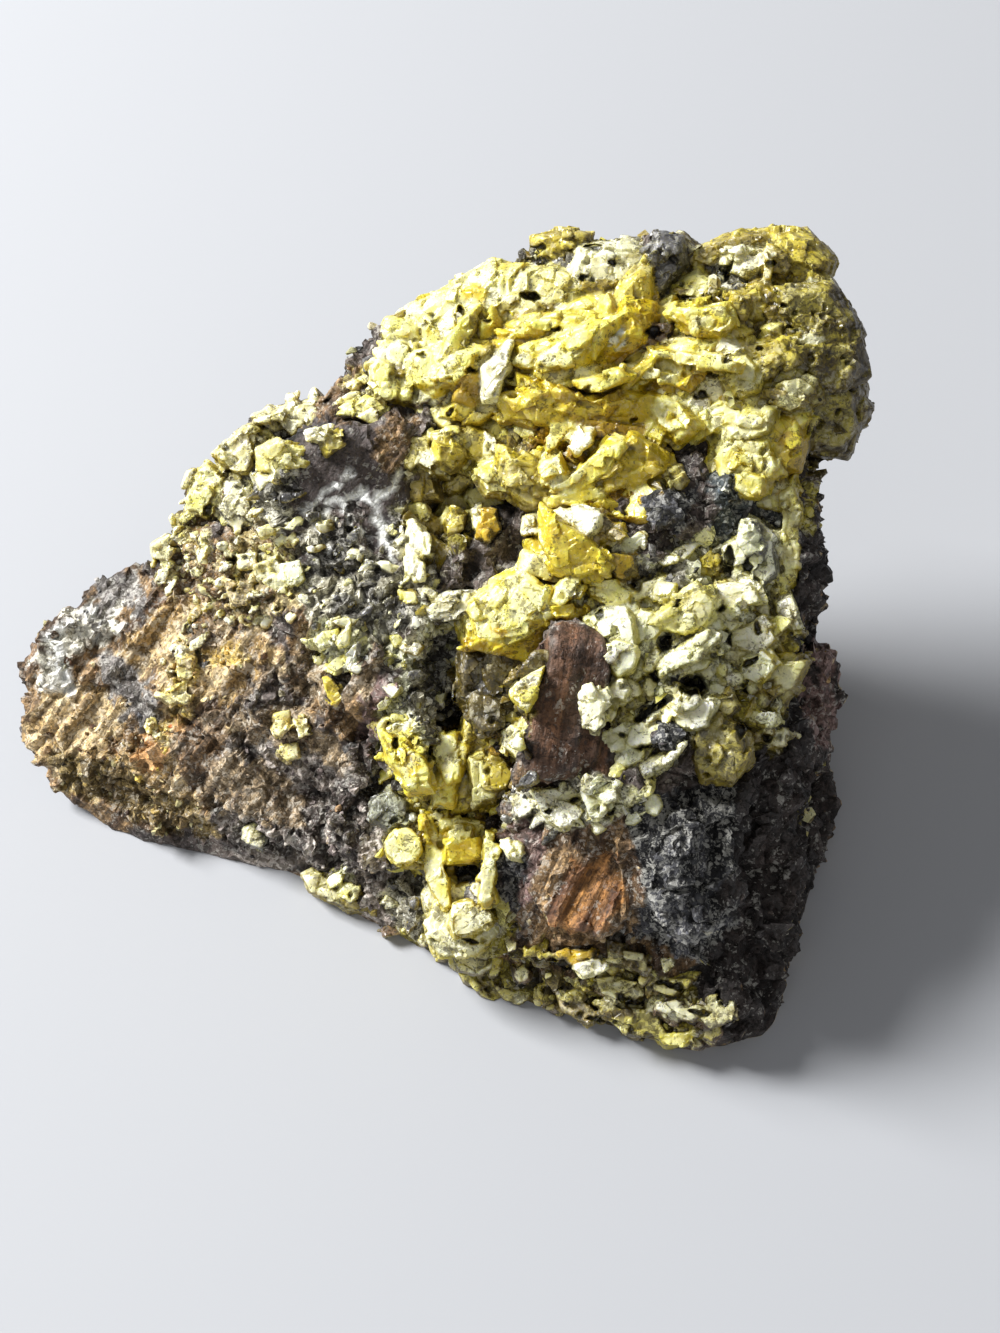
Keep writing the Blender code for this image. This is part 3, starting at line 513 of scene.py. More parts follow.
    ("crust", "P", [(598, 690), (607, 687), (613, 697), (606, 707), (598, 702)], 2.0, 3, (-0.2, 0.2), "greenwhite", "creamgrit"),
    ("crust", "P", [(602, 708), (611, 704), (618, 713), (611, 723), (603, 719)], 1.9, 3, (-0.2, 0.1), "cream", "olivepale"),
    ("crust", "P", [(584, 687), (592, 684), (598, 692), (592, 699), (585, 696)], 2.1, 3, (-0.2, 0.2), "cream", "creamgrit"),
    ("crust", "P", [(612, 684), (622, 680), (630, 690), (624, 702), (614, 698)], 1.8, 3, (-0.1, 0.1), "whitegrit", "palegrit"),
    ("crust", "P", [(722, 726), (729, 722), (733, 730), (727, 735)], 1.9, 2.5, (-0.1, 0.2), "creamgrit", "olivepale"),
    ("crust", "P", [(736, 724), (744, 722), (746, 731), (738, 733)], 1.8, 2.5, (0.0, 0.1), "creamgrit", "olivepale"),
    ("crust", "P", [(730, 740), (738, 738), (741, 746), (733, 749)], 1.8, 2.5, (0.0, 0.0), "lemonpale", "olive"),
    ("crust", "B", [(1095, 482), (1200, 438), (1238, 500), (1195, 545), (1115, 525)], 1.4, 3, (-0.1, 0.1), "creamgrit", "oliveyel"),
    ("crust", "B", [(1238, 382), (1292, 358), (1318, 460), (1255, 475)], 1.5, 3.5, (0.0, 0.1), "creamgrit", "palegrit"),
    ("crust", "B", [(1245, 570), (1335, 558), (1305, 642), (1262, 742), (1200, 705), (1185, 642)], 1.2, 3.5, (0.2, -0.1), "olivepale", "olive"),
    ("crust", "B", [(1140, 560), (1210, 530), (1250, 580), (1190, 640), (1130, 620)], 1.3, 3, (0.0, 0.1), "greenwhite", "oliveyel"),
    ("crust", "B", [(1190, 760), (1240, 750), (1235, 800), (1190, 800)], 1.3, 3, (0.0, 0.1), "cream", "olive"),
    ("crust", "B", [(720, 800), (860, 770), (868, 830), (800, 920), (720, 900)], 1.2, 3, (-0.1, 0.1), "greenwhite", "palegrit"),
    ("crust", "B", [(795, 905), (895, 845), (955, 840), (900, 905), (820, 940)], 1.8, 3, (-0.15, 0.2), "whitegrit", "palegrit"),
    ("crust", "B", [(730, 670), (800, 650), (840, 690), (800, 760), (735, 760)], 1.3, 3, (-0.1, 0.1), "palegrit", "olivepale"),
    ("crust", "B", [(1090, 220), (1160, 130), (1230, 160), (1240, 280), (1200, 330), (1110, 320)], 1.3, 3, (0.0, 0.0), "greenwhite", "greyrock"),
    ("crust", "B", [(1255, 60), (1300, 10), (1318, 110), (1310, 330), (1275, 360), (1262, 200)], 0.9, 3.5, (0.2, 0.0), "lemonpale", "oliveyel"),
    ("crust", "B", [(630, 672), (690, 650), (702, 700), (680, 782), (638, 772), (650, 712)], 2.0, 3, (-0.2, 0.1), "cream", "creamgrit"),
    # shoulder
    ("shoulder", "D", [(738, 190), (830, 108), (882, 88), (872, 200), (832, 252), (780, 240)], 1.8, 3.5, (-0.15, 0.05), "crustpale", "crustgold"),
    ("shoulder", "D", [(890, 60), (960, 28), (1082, 8), (1102, 60), (1060, 122), (980, 92)], 1.4, 3.5, (-0.15, 0.2), "crustpale", "olive"),
    ("shoulder", "D", [(1105, 145), (1182, 108), (1195, 160), (1130, 195)], 1.8, 3, (0.0, 0.0), "oliveyel", "olive"),
    ("shoulder", "D", [(1058, 112), (1140, 98), (1122, 152), (1070, 142)], 2.0, 3, (-0.25, 0.25), "white", "cream"),
    ("shoulder", "D", [(858, 262), (930, 278), (892, 325)], 1.8, 3, (-0.3, 0.2), "white", "cream"),
    ("shoulder", "D", [(640, 385), (650, 290), (702, 238), (755, 270), (752, 360), (702, 412)], 1.5, 3.5, (-0.25, 0.2), "lemonpale", "crustgold"),
    ("shoulder", "D", [(745, 390), (770, 300), (878, 300), (872, 410), (800, 480)], 0.9, 3, (-0.1, 0.1), "creamgrit", "greyrock"),
    ("shoulder", "D", [(890, 175), (960, 150), (1060, 175), (1040, 225), (950, 250), (895, 240)], 1.3, 3, (-0.1, 0.0), "olivepale", "oliveyel"),
    ("shoulder", "D", [(1190, 30), (1290, -20), (1360, 20), (1350, 90), (1290, 90)], 1.3, 3, (-0.1, 0.1), "lemonpale", "brown"),
    # flank
    ("flank", "D", [(805, 545), (882, 540), (872, 602), (815, 605)], 1.4, 3, (-0.2, 0.2), "crustpale", "tanpale"),
    ("flank", "D", [(868, 595), (955, 545), (975, 600), (930, 655), (880, 650)], 1.6, 3, (-0.1, 0.1), "crustpale", "crustgold"),
    ("flank", "D", [(965, 585), (1030, 575), (1052, 640), (1000, 670), (960, 640)], 1.8, 3, (-0.1, 0.2), "greenwhite", "palegrit"),
    ("flank", "D", [(505, 515), (560, 488), (595, 525), (560, 575), (508, 565)], 1.3, 3, (-0.2, 0.2), "crustpale", "tanpale"),
    ("flank", "D", [(760, 640), (860, 660), (860, 730), (790, 740)], 1.0, 3, (-0.1, 0.0), "tanpale", "tanpale"),
    # bench
    ("bench", "C", [(500, 165), (600, 150), (680, 175), (660, 260), (600, 300), (540, 250)], 1.4, 3.5, (-0.1, 0.2), "whitegrit", "palegrit"),
    ("bench", "C", [(660, 175), (760, 170), (770, 230), (700, 260)], 1.2, 3, (-0.05, 0.2), "greenwhite", "palegrit"),
    ("bench", "C", [(430, 190), (490, 155), (510, 230), (440, 260)], 1.4, 3, (-0.2, 0.2), "whitegrit", "greyrock"),
    ("bench", "C", [(398, 330), (420, 318), (465, 345), (462, 392), (425, 388)], 1.8, 3, (-0.2, 0.1), "cream", "creamgrit"),
    # toe
    ("toe", "C", [(200, 480), (300, 470), (372, 560), (395, 640), (300, 700), (180, 692), (150, 600)], 1.5, 4, (-0.1, 0.1), "palegrit", "oliveyel"),
    ("toe", "C", [(235, 700), (398, 645), (425, 705), (335, 765), (250, 745)], 1.2, 4, (0.0, -0.2), "palestrip", "brownolive"),
    ("toe", "C", [(255, 755), (350, 770), (460, 790), (445, 840), (345, 840), (280, 800)], 0.9, 4, (0.0, -0.3), "olivestrip", "brownolive"),
    ("toe", "C", [(595, 690), (720, 680), (708, 722), (620, 735)], 1.5, 3.5, (0.0, 0.0), "amber", "brownolive"),
    ("toe", "C", [(632, 742), (718, 710), (742, 742), (662, 775)], 1.9, 3.5, (-0.1, 0.1), "white", "cream"),
    ("toe", "C", [(735, 645), (880, 700), (862, 762), (740, 722)], 1.4, 3.5, (0.0, 0.0), "palestrip", "brownolive"),
    ("toe", "C", [(680, 782), (800, 770), (872, 822), (762, 862)], 1.3, 3.5, (0.0, -0.1), "palestrip", "brownolive"),
    ("toe", "C", [(870, 762), (1002, 790), (965, 842), (880, 822)], 1.3, 3.5, (0.0, 0.0), "olivestrip", "brownolive"),
    ("toe", "C", [(700, 862), (900, 890), (942, 970), (800, 962)], 1.0, 4, (0.0, -0.2), "olivestrip", "brownolive"),
    ("toe", "C", [(895, 962), (1045, 950), (1000, 1000), (935, 1002)], 0.9, 3.5, (-0.1, 0.1), "lemon", "oliveyel"),
    ("toe", "C", [(1020, 880), (1150, 830), (1170, 900), (1080, 940)], 0.9, 4, (0.0, -0.1), "palestrip", "brownolive"),
    ("toe", "C", [(890, 830), (1010, 850), (1060, 900), (960, 925), (880, 880)], 1.2, 3.5, (-0.1, 0.1), "palegrit", "brown"),
    ("toe", "C", [(560, 800), (650, 850), (720, 900), (680, 930), (590, 880)], 0.8, 4, (0.0, -0.1), "tanpale", "olive"),
    ("toe", "P", [(303, 876), (316, 868), (338, 882), (362, 900), (368, 912), (345, 908), (312, 892)], 0.7, 3, (-0.1, -0.1), "crustpale", "olive"),
    ("toe", "P", [(243, 828), (256, 822), (266, 838), (262, 850), (248, 842)], 0.8, 3, (-0.1, 0.1), "cream", "greyrock"),
    ("toe", "P", [(372, 800), (392, 788), (408, 802), (412, 822), (388, 830), (370, 818)], 1.0, 3, (-0.1, 0.1), "greenrock", "greyrock"),
    # tail
    ("tuft", "E", [(588, 345), (622, 335), (662, 350), (668, 400), (640, 430), (595, 420)], 0.8, 3, (-0.1, 0.2), "tuftgold", "tanpale"),
    ("tuft", "E", [(520, 480), (590, 435), (640, 435), (630, 500), (570, 520)], 0.6, 3, (-0.1, 0.2), "tuftgold", "tanpale"),
    ("tuft", "E", [(480, 555), (520, 560), (540, 630), (520, 640), (485, 600)], 0.6, 3, (-0.2, 0.1), "tuftgold", "tanpale"),
    ("knob", "E", [(940, 552), (1002, 528), (1010, 600), (960, 640), (930, 600)], 0.8, 3, (-0.1, 0.2), "tuftgold", "tanpale"),
    ("knob", "E", [(1010, 560), (1060, 560), (1078, 618), (1030, 640)], 0.8, 3, (0.0, 0.1), "tuftgold", "tanpale"),
    ("knob", "E", [(960, 640), (1030, 645), (1035, 700), (990, 722), (950, 690)], 0.8, 3, (-0.1, 0.1), "tuftgold", "tanpale"),
    ("knob", "E", [(1120, 420), (1150, 440), (1195, 490), (1160, 530), (1125, 490)], 0.6, 3, (-0.1, 0.1), "gold", "tanpale"),
]

GROUPS = {
    "crown": "crown_crystals", "crest": "crest_crystals", "blade": "golden_blade_crystals", "ledge": "ledge_crystals",
    "heart": "heart_crystals", "cavity": "cavity_crystals", "wedge": "wedge_crystals", "vein": "olive_vein_crystals",
    "block": "block_crystal", "bead": "bead_crystal", "shard": "shard_crystals", "crust": "right_crust_crystals",
    "shoulder": "shoulder_crystals", "flank": "flank_crystals", "bench": "bench_crystals", "toe": "toe_crystals",
    "tuft": "tail_tuft_crystals", "knob": "tail_knob_crystals",
}

# tone: main colour, second colour it mottles to, share of dark specks, share of white frosting, how clear it is
TONES = {
    "lemon": ("EFDC24", "F6EC70", 0.12, 0.05, 0.22),
    "lemonpale": ("E8DF66", "F9F4B2", 0.16, 0.14, 0.12),
    "lemonfrost": ("E8DC4C", "F8F29A", 0.14, 0.12, 0.14),
    "gold": ("E8CA00", "F4DE30", 0.08, 0.03, 0.40),
    "amber": ("CCA600", "E4C410", 0.14, 0.02, 0.40),
    "oliveyel": ("C6B21A", "E2D254", 0.16, 0.08, 0.28),
    "olivepale": ("D2C766", "EAE5A0", 0.15, 0.14, 0.15),
    "olive": ("8E7B0A", "B5A02A", 0.22, 0.05, 0.30),
    "olivegrit": ("86780E", "C2B440", 0.32, 0.08, 0.20),
    "olivedark": ("3E3408", "66560F", 0.30, 0.02, 0.12),
    "brownolive": ("5C4C0A", "88741C", 0.36, 0.05, 0.20),
    "crustpale": ("D8D08E", "F1EDC8", 0.24, 0.25, 0.05),
    "crustgold": ("C8B44A", "DCCB74", 0.30, 0.10, 0.10),
    "tuftgold": ("EAD470", "F8EEB0", 0.24, 0.14, 0.08),
    "olivestrip": ("AC9E34", "E2D76C", 0.28, 0.15, 0.10),
    "palestrip": ("CEC370", "F4EFBA", 0.28, 0.22, 0.05),
    "palegrit": ("CBC68E", "EEEBC6", 0.24, 0.28, 0.05),
    "creamgrit": ("E2DDB0", "F5F3E0", 0.22, 0.40, 0.05),
    "cream": ("E6E0B0", "F6F3DA", 0.16, 0.30, 0.05),
    "whitegrit": ("E6E4C8", "F8F7E8", 0.20, 0.40, 0.0),
    "white": ("D6D3B8", "EBE9D8", 0.10, 0.12, 0.05),
    "greenwhite": ("DADCAA", "F4F5D8", 0.18, 0.30, 0.05),
    "paleblue": ("D9DDD0", "F0F2EC", 0.10, 0.30, 0.1),
    "tanpale": ("C9AE72", "E6D5A6", 0.30, 0.20, 0.1),
    "brown": ("55402C", "80644A", 0.40, 0.10, 0.0),
    "greyrock": ("4A4848", "7E7C7A", 0.35, 0.15, 0.0),
    "greenrock": ("6E7060", "A2A692", 0.35, 0.25, 0.0),
    "darkrock": ("2A2727", "474242", 0.40, 0.10, 0.0),
}
TONES = {k: (lin(a), lin(b), c, d, e) for k, (a, b, c, d, e) in TONES.items()}


# triangles for each group, so that all pieces together stay under a million
TRIANGLES = {"crown": 62000, "crest": 60000, "blade": 50000, "ledge": 25000, "heart": 26000, "cavity": 25000,
             "wedge": 32000, "vein": 42000, "block": 20000, "bead": 7000, "shard": 14000, "crust": 72000,
             "shoulder": 45000, "flank": 35000, "bench": 20000, "toe": 48000, "tuft": 9000, "knob": 12000}

# how far the sides of a group's crystals spread into their neighbours
FLARE = {"crown": 0.42, "crest": 0.40, "blade": 0.40, "ledge": 0.30, "heart": 0.20, "cavity": 0.15, "wedge": 0.15,
         "vein": 0.25, "block": 0.08, "bead": 0.06, "shard": 0.15, "crust": 0.22, "shoulder": 0.22, "bench": 0.12, "toe": 0.10}


# painted highlight: how much the best-lit faces of a tone turn pale
LIT_PALING = {"gold": 0.2, "amber": 0.1, "olive": 0.4, "olivedark": 0.0, "brownolive": 0.3, "brown": 0.2, "greyrock": 0.3,
         "darkrock": 0.1, "greenrock": 0.5, "lemon": 0.8, "olivegrit": 0.6, "oliveyel": 0.7}


def lump_hull(tree, spec, index, chips=5):
    """One broken crystal: its drawn outline as the edge of a leaning face, with corners chipped off."""
    sheet, outline, lift, depth, lean = spec[1:6]
    left, top, scale = SHEETS[sheet]
    drawn = [(left + x / scale, top + y / scale) for x, y in outline]
    rand = random.Random(f"lump{index}")
    cx = sum(p[0] for p in drawn) / len(drawn)
    cy = sum(p[1] for p in drawn) / len(drawn)
    hit = None
    for step in range(60):
        k = 1 - 0.01 * step
        along = sight(500 + (cx - 500) * k, 626 + (cy - 626) * k)
        hit, normal, _, _ = tree.ray_cast(EYE, along)
        if hit is not None and normal.dot(-along) > 0.15:
            break
    centre = EYE + sight(cx, cy) * (hit - EYE).length
    towards = (EYE - centre).normalized()
    facing = (towards + RIGHT * lean[0] + UP * lean[1]).normalized()
    plane = centre + towards * lift
    points = []
    flare = FLARE.get(spec[0], 0.04)
    for size, drop in ((0.95, 0.0), (1.0 + 0.3 * flare, 0.5), (1.0 + flare, 1.9), (1.0 + flare, lift + depth)):
        for x, y in drawn:
            along = sight(cx + (x - cx) * size, cy + (y - cy) * size)
            at = plane - towards * drop
            points.append(EYE + along * ((at - EYE).dot(facing) / along.dot(facing)))
    bm = bmesh.new()
    for p in points:
        bm.verts.new(p)
    made = bmesh.ops.convex_hull(bm, input=bm.verts)
    unused = {v for v in made["geom_interior"] + made["geom_unused"] if isinstance(v, bmesh.types.BMVert)}
    bmesh.ops.delete(bm, geom=list(unused), context="VERTS")
    for _ in range(chips):
        turn = rand.uniform(0, 2 * math.pi)
        side = RIGHT * math.cos(turn) + UP * math.sin(turn)
        normal = (side * rand.uniform(0.4, 1.0) + facing * rand.uniform(0.3, 1.0)).normalized()
        far = max((v.co - plane).dot(normal) for v in bm.verts)
        cut = bmesh.ops.bisect_plane(bm, geom=bm.verts[:] + bm.edges[:] + bm.faces[:], dist=1e-5,
                                     plane_co=plane + normal * far * rand.uniform(0.70, 0.92), plane_no=normal,
                                     clear_outer=True)
        edges = [g for g in cut["geom_cut"] if isinstance(g, bmesh.types.BMEdge)]
        if edges:
            bmesh.ops.edgenet_fill(bm, edges=edges)
    bmesh.ops.recalc_face_normals(bm, faces=bm.faces)
    planes = np.array([tuple(f.normal) + (f.normal.dot(f.calc_center_median()),) for f in bm.faces])
    corners = np.array([tuple(v.co) for v in bm.verts])
    mesh = bpy.data.meshes.new("lump")
    bm.to_mesh(mesh)
    bm.free()
    return mesh, planes, (corners.min(0) - 0.8, corners.max(0) + 0.8)


def joined(meshes, name):
    bm = bmesh.new()
    for mesh in meshes:
        bm.from_mesh(mesh)
        bpy.data.meshes.remove(mesh)
    out = bpy.data.meshes.new(name)
    bm.to_mesh(out)
    bm.free()
    return object_from(out, name)


def tree_of(mesh):
    mesh.calc_loop_triangles()
    corners = np.empty(len(mesh.loop_triangles) * 3, dtype=np.int32)
    mesh.loop_triangles.foreach_get("vertices", corners)
    return BVHTree.FromPolygons([tuple(c) for c in get_co(mesh)], corners.reshape(-1, 3).tolist())


# ---------------------------------------------------------------- the host rock

# blocks and plates of the rock itself: outline in the drawing, lift, depth, lean right and up
CHUNKS = [
    ([(552, 627), (571, 623), (603, 636), (613, 659), (603, 684), (600, 722), (597, 757), (571, 783), (520, 780), (530, 729), (539, 684)], 1.6, 5, (0.15, -0.05)),
    ([(447, 553), (460, 541), (469, 563), (457, 585), (441, 588), (444, 569)], 2.6, 5, (0.2, 0.1)),
    ([(472, 547), (501, 541), (508, 569), (488, 588), (472, 576)], 2.0, 5, (-0.1, -0.2)),
    ([(640, 817), (700, 803), (741, 801), (741, 893), (717, 936), (671, 930), (640, 893)], 0.9, 5, (0.1, 0.0)),
    ([(539, 872), (564, 856), (631, 832), (640, 862), (634, 911), (606, 936), (551, 924), (533, 899)], 0.8, 5, (-0.1, 0.05)),
    ([(300, 440), (345, 425), (395, 430), (415, 470), (405, 520), (380, 555), (330, 560), (285, 540), (265, 500), (270, 460)], 0.7, 5, (-0.1, -0.1)),
    ([(365, 425), (395, 408), (412, 432), (402, 470), (380, 470)], 1.4, 5, (0.1, 0.1)),
    ([(657, 736), (667, 718), (688, 730), (674, 751)], 2.6, 4, (-0.15, 0.15)),
    ([(234, 695), (279, 672), (313, 683), (321, 697), (257, 720)], 0.9, 4, (0.0, 0.15)),
    ([(100, 668), (115, 660), (150, 722), (140, 737)], 0.8, 4, (-0.2, 0.0)),
    ([(122, 726), (150, 731), (158, 748), (133, 764), (120, 751)], 1.3, 4, (-0.1, 0.2)),
    ([(672, 412), (700, 405), (716, 430), (712, 465), (685, 470), (670, 445)], 0.9, 4, (0.1, 0.0)),
    ([(688, 472), (720, 466), (745, 490), (735, 515), (700, 512)], 0.9, 4, (-0.1, 0.1)),
    ([(612, 495), (640, 485), (675, 487), (700, 500), (695, 530), (660, 545), (625, 540), (608, 520)], 0.9, 4, (-0.1, 0.0)),
    ([(640, 497), (668, 492), (690, 508), (672, 528), (645, 522)], 1.7, 4, (0.15, 0.15)),
    ([(230, 800), (300, 775), (345, 800), (330, 850), (270, 840)], 0.7, 4, (-0.1, 0.1)),
    ([(340, 780), (400, 790), (410, 850), (370, 870), (330, 840)], 0.9, 4, (0.1, 0.1)),
    ([(300, 850), (350, 860), (390, 900), (340, 900)], 0.8, 4, (-0.1, -0.1)),
    ([(362, 683), (378, 680), (386, 735), (370, 745)], 1.0, 4, (-0.2, 0.0)),
    ([(745, 790), (790, 770), (800, 860), (780, 950), (750, 930)], 0.9, 4, (0.1, 0.0)),
    ([(800, 640), (830, 650), (825, 760), (800, 780)], 0.6, 4, (0.2, 0.1)),
    ([(760, 950), (790, 960), (775, 1020), (745, 1010)], 0.6, 4, (0.1, -0.1)),
    ([(655, 830), (690, 815), (700, 860), (670, 890)], 1.6, 4, (-0.2, 0.1)),
    ([(700, 860), (735, 850), (735, 900), (705, 920)], 1.5, 4, (0.2, -0.1)),
    ([(645, 250), (665, 238), (682, 246), (676, 280), (650, 284)], 1.2, 4, (0.1, 0.1)),
    ([(345, 690), (365, 640), (380, 650), (375, 690), (355, 720)], 0.8, 4, (-0.2, 0.1)),
]

# holes and crevices: place, half widths, turn, depth in mm
HOLES = [
    (512, 420, 30, 16, -10, 3.0), (470, 502, 50, 16, -6, 4.0), (550, 515, 12, 26, 10, 3.5), (512, 765, 6, 34, 12, 3.0),
    (494, 690, 26, 36, 0, 3.0), (466, 872, 17, 14, 0, 2.6), (416, 878, 13, 12, 0, 1.6), (688, 682, 10, 9, 0, 2.2),
    (635, 705, 18, 9, -30, 1.8), (667, 636, 9, 7, 0, 1.4), (702, 306, 30, 8, -8, 2.0), (283, 439, 22, 11, 10, 2.0),
    (820, 462, 22, 12, 0, 1.6), (600, 590, 14, 8, 20, 1.8), (538, 655, 10, 30, 14, 2.0), (430, 505, 14, 26, 0, 2.0),
    (725, 800, 26, 7, 10, 1.2), (505, 830, 12, 26, -10, 1.6), (315, 700, 30, 7, 60, 1.4), (210, 740, 50, 8, 40, 1.0),
    (650, 940, 60, 6, 12, 1.0), (560, 250, 20, 6, 0, 1.0), (690, 262, 8, 24, 0, 1.6), (745, 335, 7, 30, 0, 1.6),
    (590, 375, 40, 6, -20, 1.2), (470, 600, 22, 8, 10, 2.0), (350, 395, 24, 7, -20, 1.0), (120, 700, 60, 7, 25, 0.8),
    (780, 640, 8, 40, 10, 1.0), (715, 575, 18, 7, -20, 1.2), (640, 590, 16, 7, 20, 1.2), (800, 820, 10, 60, 8, 1.2),
]

# black vugs among the crystals: place, half widths, turn, depth in mm
VUGS = [
    (693, 686, 12, 12, 0, 3.0), (665, 643, 7, 12, 10, 2.2), (652, 709, 20, 6, -36, 2.0), (727, 636, 5, 9, 0, 1.6),
    (752, 660, 9, 4, -40, 1.4), (720, 609, 7, 3, -40, 1.2), (801, 644, 4, 8, 0, 1.2), (623, 734, 5, 3, 20, 1.0),
    (645, 747, 11, 3, -15, 1.2), (741, 729, 6, 8, 0, 1.4), (766, 738, 6, 3, 0, 1.0), (655, 675, 5, 5, 0, 1.4),
    (744, 686, 3, 5, 0, 1.0), (730, 560, 6, 14, 10, 1.4), (748, 568, 4, 9, 0, 1.0), (758, 627, 3, 6, 0, 1.0),
    (532, 297, 9, 4, 5, 1.4), (462, 312, 4, 6, 0, 1.2), (538, 249, 8, 5, -20, 1.2), (584, 278, 5, 3, 0, 1.0),
    (592, 249, 11, 3, 0, 1.0), (724, 269, 9, 5, -40, 1.4), (686, 297, 11, 3, 5, 1.2), (783, 305, 5, 3, 0, 1.0),
    (489, 321, 5, 3, 0, 1.0), (652, 333, 8, 5, 0, 1.6), (728, 359, 7, 4, -20, 1.2), (451, 411, 5, 3, 0, 1.0),
    (585, 390, 8, 2.5, -10, 1.0), (701, 396, 7, 5, 0, 1.2), (612, 262, 4, 3, 0, 0.9), (770, 262, 5, 3, 0, 0.9),
    (556, 330, 4, 2.5, 0, 0.8), (760, 350, 4, 3, 0, 0.9), (635, 420, 5, 2.5, -30, 1.0), (470, 372, 5, 3, 0, 1.0),
    (422, 354, 4, 3, 0, 1.0), (600, 614, 4, 5, 0, 1.2), (676, 602, 5, 3, -30, 1.0),
    (395, 742, 4, 6, 0, 1.2), (430, 756, 3, 5, 0, 1.0), (452, 700, 5, 9, 10, 1.6), (412, 690, 6, 4, 0, 1.2),
    (575, 800, 5, 3, 0, 1.0), (548, 812, 6, 3, 0, 1.2), (612, 812, 4, 3, 0, 1.0), (630, 1000, 16, 3, 14, 1.2),
    (560, 962, 16, 3, 14, 1.0), (672, 985, 14, 3, 14, 1.2), (520, 985, 14, 3, 20, 1.0), (700, 1012, 12, 3, 12, 1.0),
    (600, 1022, 14, 2.5, 14, 1.0), (470, 940, 8, 3, 30, 1.0), (225, 448, 5, 4, 0, 1.0), (208, 510, 4, 6, 20, 1.0),
    (246, 482, 4, 5, 0, 1.0), (270, 600, 5, 3, 0, 1.0), (232, 560, 4, 4, 0, 0.9), (330, 402, 6, 3, -20, 1.0),
]

# colours: main, second, share of dark specks, of light specks, height of the grit (mm), how fibrous
KINDS = {
    "dark": ("443A36", "6E625A", 0.30, 0.12, 0.08, 0.3),
    "char": ("18181A", "4C4C50", 0.18, 0.30, 0.08, 0.3),
    "slate": ("585250", "96908A", 0.30, 0.25, 0.15, 0.8),
    "brown": ("5A4430", "9E8058", 0.28, 0.14, 0.06, 1.0),
    "block": ("2E221A", "6E4E38", 0.16, 0.0, 0.02, 0.8),
    "shade": ("221D1B", "453B36", 0.30, 0.06, 0.08, 0.3),
    "plate": ("37302E", "5A504C", 0.12, 0.06, 0.02, 0.5),
    "rust": ("5E3C22", "BA864C", 0.10, 0.0, 0.02, 1.0),
    "orange": ("B8864E", "E6BE88", 0.15, 0.12, 0.12, 0.4),
    "tan": ("A38552", "E4CC9C", 0.25, 0.22, 0.08, 1.0),
    "sandy": ("86683E", "D0BE88", 0.32, 0.30, 0.30, 0.1),
    "cream": ("7E6438", "D8CE8C", 0.30, 0.22, 0.30, 0.0),
    "lemon": ("8F8420", "D8CC60", 0.25, 0.15, 0.30, 0.0),
    "gold": ("8A6A00", "CFA800", 0.25, 0.05, 0.30, 0.0),
    "green": ("A8A672", "EAECCC", 0.24, 0.38, 0.35, 0.0),
    "grit": ("5A564F", "CECAB2", 0.45, 0.38, 0.35, 0.1),
    "olive": ("6A5E10", "ADA238", 0.36, 0.10, 0.35, 0.0),
    "oliveshade": ("453A0A", "736418", 0.42, 0.05, 0.30, 0.0),
    "tuft": ("A07E38", "E8CE78", 0.28, 0.24, 0.28, 0.1),
    "rim": ("66502E", "AE9860", 0.40, 0.18, 0.25, 0.2),
    # black lies over the carved holes and crevices: painted shade
    "black": ("0E0C0A", "2A241C", 0.45, 0.04, 0.25, 0.0),
    "white": ("DED9C6", "FAF7EA", 0.25, 0.40, 0.20, 0.5),
    "mauve": ("6B5450", "8F766E", 0.25, 0.12, 0.15, 0.5),
    "blue": ("3A4044", "69706F", 0.35, 0.20, 0.20, 0.3),
    "granular": ("544A45", "B6AAA0", 0.42, 0.34, 0.22, 0.15),
    "drab": ("64503A", "B8A280", 0.36, 0.22, 0.08, 0.8),
}

